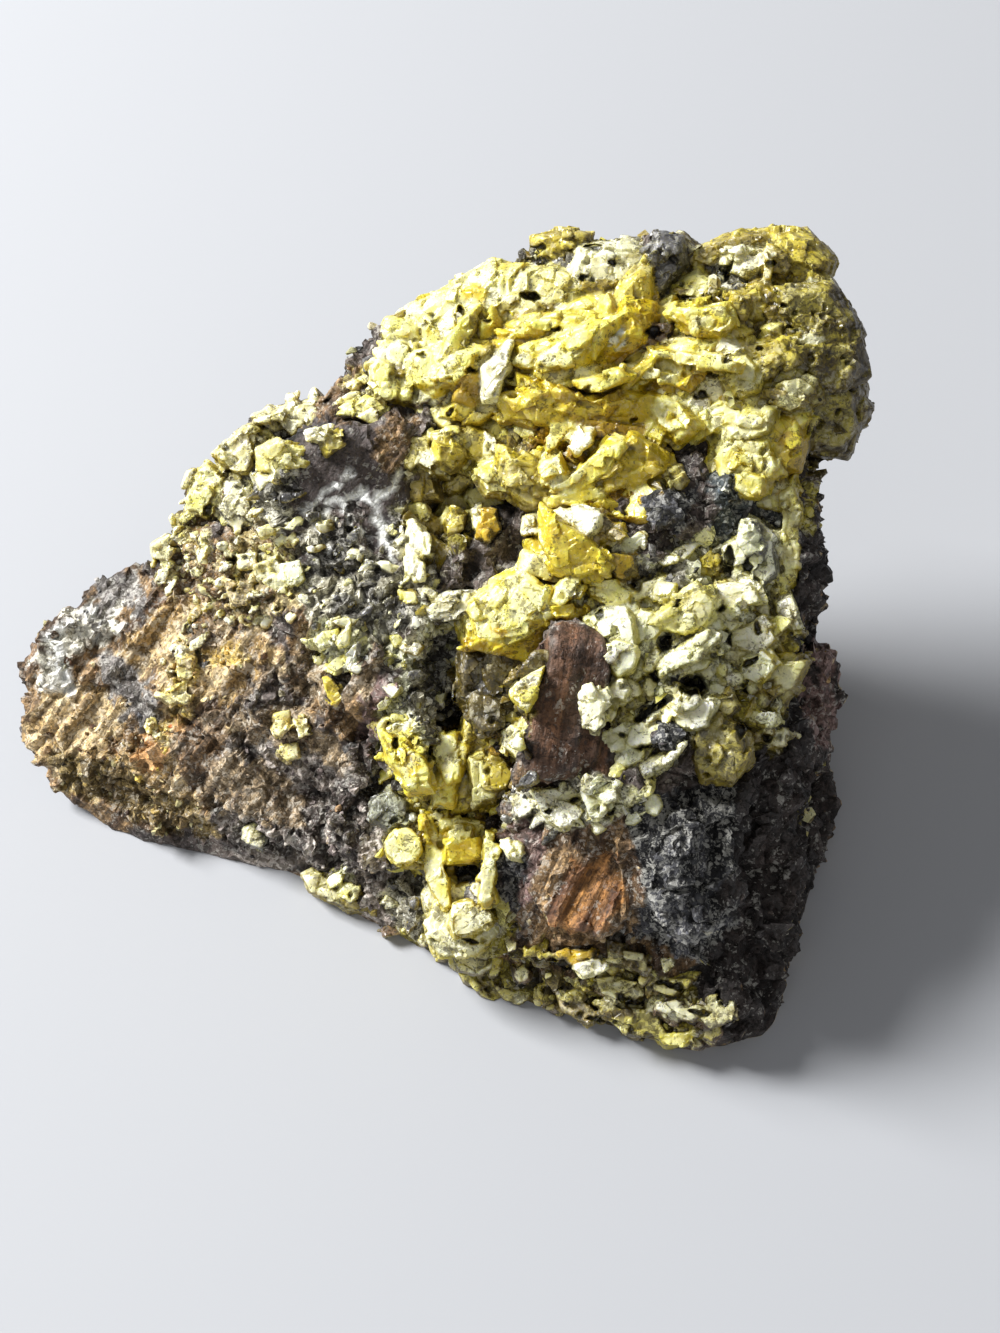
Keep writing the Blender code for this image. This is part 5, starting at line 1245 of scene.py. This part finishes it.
def templates(count, seed):
    """Broken fragments: the hull of a few points on a stretched ball, cut by a few planes for large flat faces."""
    rand = random.Random(seed)
    out = []
    for _ in range(count):
        wide, thick = rand.uniform(0.65, 0.95), rand.uniform(0.45, 0.75)
        points = []
        for _ in range(10):
            p = Vector((rand.gauss(0, 1), rand.gauss(0, 1), rand.gauss(0, 1))).normalized() * rand.uniform(1.05, 1.35)
            points.append(Vector((p.x, p.y * wide, p.z * thick)))
        mesh = hull_mesh(points, "fragment")
        bm = bmesh.new()
        bm.from_mesh(mesh)
        for _ in range(rand.randint(2, 4)):
            normal = Vector((rand.gauss(0, 1), rand.gauss(0, 1), rand.gauss(0, 1))).normalized()
            far = max(v.co.dot(normal) for v in bm.verts)
            cut = bmesh.ops.bisect_plane(bm, geom=bm.verts[:] + bm.edges[:] + bm.faces[:], dist=1e-5,
                                         plane_co=normal * far * rand.uniform(0.55, 0.82), plane_no=normal, clear_outer=True)
            rim = [g for g in cut["geom_cut"] if isinstance(g, bmesh.types.BMEdge)]
            if rim:
                bmesh.ops.edgenet_fill(bm, edges=rim)
        bmesh.ops.dissolve_limit(bm, angle_limit=0.02, verts=bm.verts, edges=bm.edges)
        bmesh.ops.recalc_face_normals(bm, faces=bm.faces)
        bm.to_mesh(mesh)
        bm.free()
        out.append((get_co(mesh), [tuple(p.vertices) for p in mesh.polygons],
                    np.array([tuple(p.normal) for p in mesh.polygons])))
        bpy.data.meshes.remove(mesh)
    return out


def turning(rand, normal, upright):
    """A random turn; the more upright, the more the fragment's flat side lies along the surface."""
    a = rand.normal(size=3)
    z = normal * upright + rand.normal(size=3) * (1 - upright)
    z /= np.linalg.norm(z)
    x = a - z * (a @ z)
    x /= np.linalg.norm(x)
    return np.stack([x, np.cross(z, x), z], axis=1)


def scatter(name, sites, normals, sizes, faces_tone, sides_tone, clears, seed, upright, sink, speck):
    """Broken fragments, each its own closed solid, part sunk where it sits."""
    shapes = templates(24, seed)
    rand = np.random.RandomState(seed)
    verts, faces, tone, clear = [], [], [], []
    base = 0
    for k in range(len(sites)):
        co, fs, ns = shapes[rand.randint(len(shapes))]
        turn = turning(rand, normals[k], upright)
        stretch = np.array([1.0, rand.uniform(0.75, 1.1), rand.uniform(0.7, 1.15)])
        p = (co * stretch * sizes[k]) @ turn.T + sites[k] + normals[k] * sizes[k] * rand.uniform(*sink)
        verts.append(p)
        # painted light and shade: faces turned to the light take the face tone, the rest the side tone
        lit = ns @ turn.T @ LIGHT_WARD + rand.uniform(-0.25, 0.25, len(fs))
        mix = smooth(lit, 0.15, 0.75)[:, None]
        shade = sides_tone[k] * (1 - mix) + faces_tone[k] * mix
        shade = shade * rand.uniform(0.85, 1.12, (len(fs), 1))
        for f, c in zip(fs, shade):
            faces.append(tuple(base + i for i in f))
            tone.append(np.repeat(c[None], len(f), 0))
        clear.append(np.full(len(co), clears[k]))
        base += len(co)
    mesh = bpy.data.meshes.new(name)
    mesh.from_pydata(np.concatenate(verts).tolist(), [], faces)
    mesh.update()
    obj = object_from(mesh, name)
    data = np.ones((len(mesh.loops), 4), dtype=np.float32)
    data[:, :3] = np.clip(np.concatenate(tone), 0, 1)
    mesh.color_attributes.new("tone", "FLOAT_COLOR", "CORNER").data.foreach_set("color", data.ravel())
    set_value(mesh, "clear", np.concatenate(clear))
    set_value(mesh, "dark", np.full(base, speck))
    set_value(mesh, "light", np.full(base, speck))
    set_value(mesh, "fibre", np.zeros(base))
    return obj


def surface_points(mesh, density, count, seed):
    """Points on the mesh with their normals, taken by area times each corner's density."""
    mesh.calc_loop_triangles()
    tri = np.empty(len(mesh.loop_triangles) * 3, dtype=np.int32)
    mesh.loop_triangles.foreach_get("vertices", tri)
    tri = tri.reshape(-1, 3)
    co, no = get_co(mesh), get_no(mesh)
    a, b, c = co[tri[:, 0]], co[tri[:, 1]], co[tri[:, 2]]
    area = 0.5 * np.linalg.norm(np.cross(b - a, c - a), axis=1) * density[tri].mean(axis=1)
    rand = np.random.RandomState(seed)
    picked = rand.choice(len(tri), size=count, p=area / area.sum())
    u, v = rand.rand(count), rand.rand(count)
    flip = u + v > 1
    u[flip], v[flip] = 1 - u[flip], 1 - v[flip]
    site = a[picked] + (b[picked] - a[picked]) * u[:, None] + (c[picked] - a[picked]) * v[:, None]
    normal = no[tri[picked, 0]]
    return site, normal, tri[picked, 0], rand


# ---------------------------------------------------------------- painted shade: what the recesses hide from the sky

def tree_over(objects):
    """One tree over the surfaces of several objects."""
    verts, tris, base = [], [], 0
    for obj in objects:
        mesh = obj.data
        mesh.calc_loop_triangles()
        corners = np.empty(len(mesh.loop_triangles) * 3, dtype=np.int32)
        mesh.loop_triangles.foreach_get("vertices", corners)
        verts.append(get_co(mesh))
        tris.append(corners.reshape(-1, 3) + base)
        base += len(mesh.vertices)
    return BVHTree.FromPolygons([tuple(c) for c in np.concatenate(verts)], np.concatenate(tris).tolist())


def openness(tree, co, no, seed, rays=6, reach=3.0):
    """The share of rays, spread round each normal, that get clear of the surroundings."""
    rand = np.random.RandomState(seed)
    free = np.zeros(len(co))
    start = co + no * 0.10
    cast = tree.ray_cast
    for _ in range(rays):
        d = rand.normal(size=(len(co), 3))
        d /= np.linalg.norm(d, axis=1)[:, None]
        d = d + no * 1.05
        d /= np.linalg.norm(d, axis=1)[:, None]
        hits = [cast(a, b, reach)[3] for a, b in zip(start.tolist(), d.tolist())]
        free += np.array([1.0 if h is None else min(1.0, h / reach) * 0.6 for h in hits])
    return free / rays


def painted_recess_shade(colour, free):
    """Painted shade: darker and browner where little sky is seen."""
    hidden = (1 - smooth(free, 0.15, 0.80))[:, None]
    return colour * (1 - hidden * np.array((0.74, 0.76, 0.86)))


def painted_glow_and_shade(colour, free):
    """Painted shade for crystal: first deeper in colour where little sky is seen, painted as if light came through it,
    and only at the bottom brown.
    """
    near, deep = (1 - smooth(free, 0.35, 0.90))[:, None], (1 - smooth(free, 0.08, 0.45))[:, None]
    return colour * (1 - near * np.array((0.14, 0.19, 0.60))) * (1 - deep * np.array((0.62, 0.67, 0.80)))


# ---------------------------------------------------------------- materials

class Nodes:
    def __init__(self, name):
        self.material = bpy.data.materials.new(name)
        self.material.use_nodes = True
        self.tree = self.material.node_tree
        self.shader = self.tree.nodes["Principled BSDF"]

    def add(self, kind, inputs=None, **settings):
        node = self.tree.nodes.new(kind)
        for key, value in settings.items():
            setattr(node, key, value)
        for key, value in (inputs or {}).items():
            self.put(node.inputs[key], value)
        return node

    def put(self, socket, value):
        if isinstance(value, bpy.types.NodeSocket):
            self.tree.links.new(value, socket)
        else:
            socket.default_value = value

    def math(self, how, a, b=0.0, c=0.0, clamp=False):
        node = self.add("ShaderNodeMath", operation=how, use_clamp=clamp)
        for socket, value in zip(node.inputs, (a, b, c)):
            self.put(socket, value)
        return node.outputs[0]

    def mix(self, how, amount, a, b):
        node = self.add("ShaderNodeMix", data_type="RGBA", blend_type=how, clamp_result=False)
        self.put(node.inputs[0], amount)
        self.put(node.inputs[6], a)
        self.put(node.inputs[7], b)
        return node.outputs[2]

    def band(self, value, lo, hi, to_lo=0.0, to_hi=1.0):
        node = self.add("ShaderNodeMapRange", {"Value": value, "From Min": lo, "From Max": hi, "To Min": to_lo, "To Max": to_hi})
        return node.outputs[0]

    def attribute(self, name, which):
        return self.add("ShaderNodeAttribute", attribute_name=name).outputs[which]


def speckled(name, crystal):
    n = Nodes(name)
    place = n.add("ShaderNodeTexCoord").outputs["Object"]
    wander = n.add("ShaderNodeTexNoise", {"Vector": place, "Scale": 1400.0, "Detail": 2.0}).outputs["Color"]
    moved = n.add("ShaderNodeVectorMath", {0: wander, 1: (0.5, 0.5, 0.5)}, operation="SUBTRACT").outputs[0]
    moved = n.add("ShaderNodeVectorMath", {0: moved, "Scale": 0.0009}, operation="SCALE").outputs[0]
    moved = n.add("ShaderNodeVectorMath", {0: place, 1: moved}, operation="ADD").outputs[0]
    tone = n.attribute("tone", "Color")
    dark = n.attribute("dark", "Fac")
    light = n.attribute("light", "Fac")
    coarse = n.add("ShaderNodeTexVoronoi", {"Vector": moved, "Scale": 2100.0, "Randomness": 1.0})
    fine = n.add("ShaderNodeTexVoronoi", {"Vector": moved, "Scale": 5200.0, "Randomness": 1.0})
    cr = n.add("ShaderNodeSeparateColor", {"Color": coarse.outputs["Color"]})
    fr = n.add("ShaderNodeSeparateColor", {"Color": fine.outputs["Color"]})
    cloud = n.add("ShaderNodeTexNoise", {"Vector": place, "Scale": 420.0, "Detail": 4.0, "Roughness": 0.65}).outputs["Fac"]
    dust = n.add("ShaderNodeTexNoise", {"Vector": place, "Scale": 2600.0, "Detail": 4.0, "Roughness": 0.7}).outputs["Fac"]
    gathered = n.band(cloud, 0.35, 0.65, -0.30, 0.20) if crystal else n.band(cloud, 0.35, 0.65, -0.16, 0.16)
    is_dark = n.band(n.math("ADD", n.math("ADD", cr.outputs[0], dark), gathered), 1.0, 1.06)
    is_dark_fine = n.band(n.math("ADD", n.math("ADD", fr.outputs[0], n.math("MULTIPLY", dark, 0.8)), gathered), 1.0, 1.05)
    is_light = n.band(n.math("SUBTRACT", n.math("ADD", cr.outputs[1], light), gathered), 1.0, 1.06)
    is_light_fine = n.band(n.math("SUBTRACT", n.math("ADD", fr.outputs[1], n.math("MULTIPLY", light, 0.8)), gathered), 1.0, 1.05)
    even = 0.45 if crystal else 1.0
    shade = n.band(fr.outputs[2], 0.0, 1.0, 1 - 0.22 * even, 1 + 0.22 * even)
    shade = n.math("MULTIPLY", shade, n.band(dust, 0.3, 0.7, 1 - 0.28 * even, 1 + 0.25 * even))
    if not crystal:
        lie = n.attribute("lie", "Vector")
        streak = n.add("ShaderNodeTexNoise", {"Vector": lie, "Scale": 2.2, "Detail": 5.0, "Roughness": 0.65}).outputs["Fac"]
        fibre = n.attribute("fibre", "Fac")
        streak_shade = n.math("ADD", 1.0, n.math("MULTIPLY", fibre, n.math("MULTIPLY", n.math("SUBTRACT", streak, 0.5), 3.6)))
        shade = n.math("MULTIPLY", shade, n.math("MAXIMUM", streak_shade, 0.25))
    grey = n.add("ShaderNodeCombineColor", {"Red": shade, "Green": shade, "Blue": shade}).outputs[0]
    colour = n.mix("MULTIPLY", 1.0, tone, grey)
    depth = 0.22
    darker = n.mix("MULTIPLY", 1.0, tone, (depth, depth * 0.9, depth * 0.7, 1.0))
    lighter = n.mix("MIX", 0.45 if crystal else 0.42, tone, (0.95, 0.93, 0.74, 1.0) if crystal else (0.92, 0.90, 0.80, 1.0))
    colour = n.mix("MIX", n.math("MULTIPLY", is_light, 0.35 if crystal else 0.6), colour, lighter)
    colour = n.mix("MIX", n.math("MULTIPLY", is_light_fine, 0.35 if crystal else 0.5), colour, lighter)
    colour = n.mix("MIX", n.math("MULTIPLY", is_dark, 0.6 if crystal else 0.7), colour, darker)
    colour = n.mix("MIX", n.math("MULTIPLY", is_dark_fine, 0.8 if crystal else 0.7), colour, darker)
    n.put(n.shader.inputs["Base Color"], colour)
    rough = n.band(cr.outputs[2], 0.0, 1.0, 0.30 if crystal else 0.45, 0.52 if crystal else 0.95)
    n.put(n.shader.inputs["Roughness"], n.math("ADD", rough, n.band(dust, 0.3, 0.7, -0.08, 0.08), clamp=True))
    n.shader.inputs["IOR"].default_value = 1.7 if crystal else 1.45
    if crystal:
        n.put(n.shader.inputs["Transmission Weight"], n.math("MULTIPLY", n.attribute("clear", "Fac"), 0.6))
        n.shader.inputs["Subsurface Weight"].default_value = 0.35
        n.shader.inputs["Subsurface Radius"].default_value = (1.0, 0.9, 0.3)
        n.shader.inputs["Subsurface Scale"].default_value = 0.0012
    rise = n.math("ADD", n.math("MULTIPLY", coarse.outputs["Distance"], -0.9), n.math("MULTIPLY", dust, 0.8))
    rise = n.math("ADD", rise, n.math("MULTIPLY", fine.outputs["Distance"], -0.35))
    if not crystal:
        rise = n.math("ADD", rise, n.math("MULTIPLY", n.math("MULTIPLY", streak, fibre), 2.0))
    bump = n.add("ShaderNodeBump", {"Height": rise, "Strength": 0.16 if crystal else 0.6, "Distance": 0.00022})
    n.put(n.shader.inputs["Normal"], bump.outputs[0])
    return n.material


ROCK = speckled("rock_surface", False)
CRYSTAL = speckled("crystal_surface", True)

SKIN = skin()
SKIN_TREE = tree_of(SKIN.data)

small_lumps = between(SKIN_TREE)
print("small lumps", len(small_lumps))
groups = []
for group in GROUPS:
    specs = [(i, spec) for i, spec in enumerate(LUMPS) if spec[0] == group]
    specs += [(f"small{i}", spec) for i, spec in enumerate(small_lumps) if spec[0] == group]
    groups.append(crystals(group, specs, SKIN_TREE))
    print(group, len(groups[-1]["made"]), len(groups[-1]["obj"].data.polygons))
all_lumps = [m for g in groups for m in g["made"]]

skin_co, skin_no = get_co(SKIN.data), get_no(SKIN.data)
skin_edges = edges_of(SKIN.data)
skin_tone, skin_other, skin_kind, kind_names, skin_px, skin_py, skin_seen = zone_fields(skin_co, skin_no)
cover, _, _ = nearest_lump(skin_co, all_lumps)
OPEN_TREE = tree_over([SKIN] + [g["obj"] for g in groups])

# fragments wedged between the drawn crystals: how thick, smallest and largest (mm), their face tones (painted light,
# for faces turned to the light), their side tones (painted shade, for faces turned from it)
FILL = {
    "lemon": (1.0, 1.0, 2.7, ("lemonpale", "lemon", "lemonfrost", "oliveyel", "cream"), ("gold", "olive")),
    "gold": (1.0, 1.0, 2.9, ("lemon", "gold", "lemonpale", "lemon"), ("gold", "amber")),
    "olive": (0.9, 1.0, 2.6, ("oliveyel", "olivepale", "palegrit", "lemonpale", "olive"), ("olive", "brownolive")),
    "oliveshade": (0.6, 1.0, 2.4, ("olive", "brownolive", "oliveyel"), ("brownolive", "olivedark")),
    "green": (0.9, 0.8, 2.2, ("greenwhite", "whitegrit", "lemonpale", "creamgrit", "palegrit"), ("olivepale", "palegrit", "greyrock")),
    "cream": (1.0, 0.6, 1.6, ("cream", "crustpale", "creamgrit", "crustpale"), ("crustgold", "tanpale", "brown")),
    "grit": (0.4, 0.5, 1.1, ("palegrit", "whitegrit", "greyrock", "greenwhite"), ("greyrock", "darkrock", "olive")),
    "sandy": (0.6, 0.5, 1.3, ("tanpale", "creamgrit", "lemonpale"), ("tanpale", "brown")),
    "dark": (0.10, 0.7, 2.0, ("greyrock", "darkrock"), ("darkrock",)), "char": (0.12, 0.7, 1.8, ("darkrock", "greyrock"), ("darkrock",)),
    "slate": (0.1, 0.6, 1.4, ("greyrock",), ("greyrock",)), "brown": (0.10, 0.6, 1.6, ("brown", "tanpale"), ("brown",)),
    "tan": (0.12, 0.6, 1.4, ("tanpale", "brown"), ("brown",)), "white": (0.5, 0.5, 1.2, ("white", "whitegrit"), ("palegrit",)),
    "blue": (0.3, 0.6, 1.5, ("greyrock", "greenwhite", "darkrock"), ("darkrock",)),
}
solid = 1 - vugs(skin_px, skin_py)[0]
thick = np.array([FILL[k][0] if k in FILL else 0.0 for k in kind_names])[skin_kind] * solid
thick *= smooth(cover, -0.5, -0.2) * smooth(skin_co[:, 2], 1.5, 3.0) * np.where((skin_px < 240) & (skin_py > 690), 0.15, 1.0)
site, normal, near, rand = surface_points(SKIN.data, thick, 1500, 401)
chosen = [FILL.get(kind_names[skin_kind[i]], FILL["dark"]) for i in near]
size = np.array([c[1] + (c[2] - c[1]) * rand.rand() ** 1.8 for c in chosen]) * 0.62
upper_tone = [TONES[c[3][rand.randint(len(c[3]))]] for c in chosen]
lower_tone = [TONES[c[4][rand.randint(len(c[4]))]] for c in chosen]
mixing = rand.rand(len(site), 1)
fill_face = np.array([t[0] for t in upper_tone]) * mixing + np.array([t[1] for t in upper_tone]) * (1 - mixing)
fill_side = np.array([t[0] for t in lower_tone]) * mixing + np.array([t[1] for t in lower_tone]) * (1 - mixing)
stony = np.array([kind_names[skin_kind[i]] in ("dark", "char", "slate", "brown", "tan", "blue")
                  or kind_names[skin_kind[i]] not in FILL for i in near])
clears = np.array([t[4] for t in upper_tone])
free = openness(OPEN_TREE, site + normal * 0.3, normal, 521)
# painted shade: deeper and darker where little sky is seen
fill_face, fill_side = painted_glow_and_shade(fill_face, free), painted_glow_and_shade(fill_side, free)
bits = scatter("crystal_fragments", site[~stony], normal[~stony], size[~stony], fill_face[~stony], fill_side[~stony],
               clears[~stony], 411, 0.45, (-0.75, -0.2), 0.16)
stones = scatter("rock_fragments", site[stony], normal[stony], size[stony], fill_face[stony], fill_side[stony],
                 clears[stony], 421, 0.6, (-0.6, -0.1), 0.2)

# grit: how thickly each kind of rock carries loose grains, and their colours
GRIT = {
    "dark": (0.16, ("5A5452", "2A2626", "8C8478", "C8BE9C")), "char": (0.16, ("55555A", "1C1C20", "8A8A8E", "3A3A3E")),
    "slate": (0.2, ("8A8888", "5C5C60", "B4B0AA")), "brown": (0.1, ("6A4C34", "3E2A1E", "A0805C", "C8AE80")),
    "shade": (0.12, ("4A4440", "2A2624", "6A605A")), "block": (0.03, ("6A4C3A", "3E2A22")), "plate": (0.04, ("6A605C", "37302E", "B0AAA0")), "rust": (0.03, ("9A5A2C", "6B3818", "C89A5C")),
    "orange": (0.6, ("D8901C", "B4641A", "F0D060")), "tan": (0.3, ("C2A06C", "8C6E48", "E0CC94", "6A4C34")),
    "sandy": (1.3, ("D8C896", "EFE6BC", "A88F60", "8A7448", "F4EED2", "5E4830")),
    "cream": (1.6, ("F0EAC4", "E0D890", "D6C870", "F8F4E0", "8A8250")),
    "lemon": (1.1, ("ECE070", "F2EEB8", "D8C838", "F6F2D4", "9A8E30")),
    "gold": (0.6, ("E0B800", "F0D840", "C09000", "F4EEA0")),
    "green": (1.5, ("E8E8C4", "CCCE9A", "F4F2DC", "8E8E58", "3A3A30", "D8D890")),
    "grit": (0.9, ("D8D6C4", "F6F4EA", "6A6862", "2A2826", "A8A67C", "E8E4BC", "3A3634")),
    "olive": (1.2, ("A8A04A", "D0CA80", "6E6822", "E4E0B4", "3E3A1C")),
    "oliveshade": (0.7, ("8A8238", "5A5420", "B4AC60")), "black": (0.1, ("4A4030", "2A241C")),
    "white": (0.8, ("F6F4EC", "D8D4C8", "B8B0A0")), "granular": (1.2, ("8C807C", "B4A8A0", "4A403E", "D0C8BC", "2A2422", "6E625E")), "drab": (0.5, ("8C7C6C", "5A4A3E", "B4A084", "3A2E26")),
    "tuft": (2.2, ("E8C860", "F4E6A0", "C09A40", "8A6A34", "F0D474")),
    "rim": (1.2, ("B49A58", "C8BE84", "6A5A34", "8A7448", "4A3E20", "DAD09A")),
    "mauve": (0.2, ("8F766E", "5A4644")),
    "blue": (0.6, ("68737C", "9AA4AA", "2E3438", "D8DCD8")),
}
thick = np.array([GRIT[k][0] for k in kind_names])[skin_kind] * solid * smooth(cover, -0.4, -0.1) * smooth(skin_co[:, 2], 0.8, 2.0)
site, normal, near, rand = surface_points(SKIN.data, thick, 3300, 301)
size = np.exp(rand.normal(math.log(0.28), 0.40, len(site))).clip(0.15, 0.65)
palette = [GRIT[kind_names[skin_kind[i]]][1] for i in near]
colours = np.array([lin(p[rand.randint(len(p))]) for p in palette]) * rand.uniform(0.8, 1.15, (len(site), 1))
# painted shade: grains darker where little sky is seen, and darker still on faces turned from the light
colours = painted_recess_shade(colours, openness(OPEN_TREE, site + normal * 0.15, normal, 531))
grit = scatter("rock_grit", site, normal, size, colours, colours * 0.8, np.zeros(len(site)), 311, 0.3, (-0.4, 0.2), 0.12)
for g in (bits, stones, grit):
    print(g.name, sum(len(p.vertices) - 2 for p in g.data.polygons))

free = openness(OPEN_TREE, skin_co, skin_no, 501)
free = neighbour_mean(free, skin_edges, len(free))
near_stand, far_stand = stand(skin_co, skin_no, skin_edges, 5), stand(skin_co, skin_no, skin_edges, 30)
yellow = np.array([1.0 if k in ("lemon", "gold", "olive") else 0.0 for k in kind_names])[skin_kind]
crusty = np.array([1.0 if k in ("green", "cream", "sandy", "grit", "tan", "white", "tuft") else 0.0 for k in kind_names])[skin_kind]
for _ in range(4):
    yellow, crusty = neighbour_mean(yellow, skin_edges, len(free)), neighbour_mean(crusty, skin_edges, len(free))
# painted shade: darker where little sky is seen (less on crusts), deeper in colour on the yellow zones, and darker in
# hollows
tone = painted_recess_shade(skin_tone, np.clip(free + 0.14 * crusty, 0, 1))
tone = tone + (painted_glow_and_shade(skin_tone, free) - tone) * yellow[:, None]
tone = tone * (1 - 0.35 * smooth(-near_stand, 0.04, 0.35) - 0.2 * smooth(-far_stand, 0.3, 1.6))[:, None]
# painted highlight: standing knobs and ridges lighter
lit = (0.30 * smooth(near_stand, 0.05, 0.35))[:, None]
set_colour(SKIN.data, "tone", tone * (1 - lit) + np.minimum(1, tone * 1.4 + 0.08) * lit)
set_value(SKIN.data, "dark", skin_other[:, 0])
set_value(SKIN.data, "light", skin_other[:, 1])
set_value(SKIN.data, "fibre", skin_other[:, 3])
set_vector(SKIN.data, "lie", combed(skin_co, skin_px, skin_py))
for g in groups:
    mesh = g["obj"].data
    co, no, edges = get_co(mesh), get_no(mesh), edges_of(mesh)
    free = openness(OPEN_TREE, co, no, 511)
    for _ in range(2):
        free = neighbour_mean(free, edges, len(free))
    # painted shade: deeper and darker where little sky is seen, and darker in hollows
    set_colour(mesh, "tone", painted_glow_and_shade(g["tone"], free) * (1 - 0.35 * smooth(-g["ridge"], 0.03, 0.25))[:, None])
    for name in ("dark", "light", "clear"):
        set_value(mesh, name, g[name])

finished(SKIN, ROCK, 38)
for g in groups:
    finished(g["obj"], CRYSTAL)
    g["obj"].data.shade_flat()
for obj, material in ((bits, CRYSTAL), (stones, ROCK), (grit, ROCK)):
    finished(obj, material)
    obj.data.shade_flat()
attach(SKIN, "root")
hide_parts("host_rock")
for g in groups:
    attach(g["obj"], "root")
    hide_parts(g["node"])
for obj, slot in ((bits, "golden_blade_crystals"), (stones, "host_rock"), (grit, "host_rock")):
    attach(obj, "root")

# ---------------------------------------------------------------- floor, light, camera

floor_mesh = bpy.data.meshes.new("floor")
floor_mesh.from_pydata([(-3, -3, 0), (3, -3, 0), (3, 3, 0), (-3, 3, 0)], [], [(0, 1, 2, 3)])
floor = object_from(floor_mesh, "floor")
plain = Nodes("floor_surface")
plain.shader.inputs["Base Color"].default_value = (0.42, 0.43, 0.45, 1.0)
plain.shader.inputs["Roughness"].default_value = 0.75
floor.data.materials.append(plain.material)


def area(name, place, aim, size, power, colour=(1, 1, 1)):
    data = bpy.data.lights.new(name, "AREA")
    data.shape, data.size, data.energy, data.color = "SQUARE", size, power, colour
    light = bpy.data.objects.new(name, data)
    bpy.context.scene.collection.objects.link(light)
    light.location = place
    light.rotation_euler = (Vector(aim) - Vector(place)).to_track_quat("-Z", "Y").to_euler()


area("window", (-0.75, 0.30, 0.68), (0, 0, 0.02), 0.36, 25.0)
area("room", (-0.1, -0.7, 0.8), (0, 0, 0.02), 0.9, 1.6)
world = bpy.data.worlds.new("studio")
bpy.context.scene.world = world
world.use_nodes = True
world.node_tree.nodes["Background"].inputs["Color"].default_value = (0.82, 0.83, 0.86, 1.0)
world.node_tree.nodes["Background"].inputs["Strength"].default_value = 0.26

camera_data = bpy.data.cameras.new("camera")
camera_data.lens, camera_data.sensor_width, camera_data.clip_start = 55.0, 36.0, 0.001
camera = bpy.data.objects.new("camera", camera_data)
bpy.context.scene.collection.objects.link(camera)
camera.location = (Vector(EYE) + Vector(SHIFT)) * MM
camera.rotation_euler = (math.radians(35.0), 0.0, 0.0)
bpy.context.scene.camera = camera
bpy.context.scene.view_settings.view_transform = "Standard"
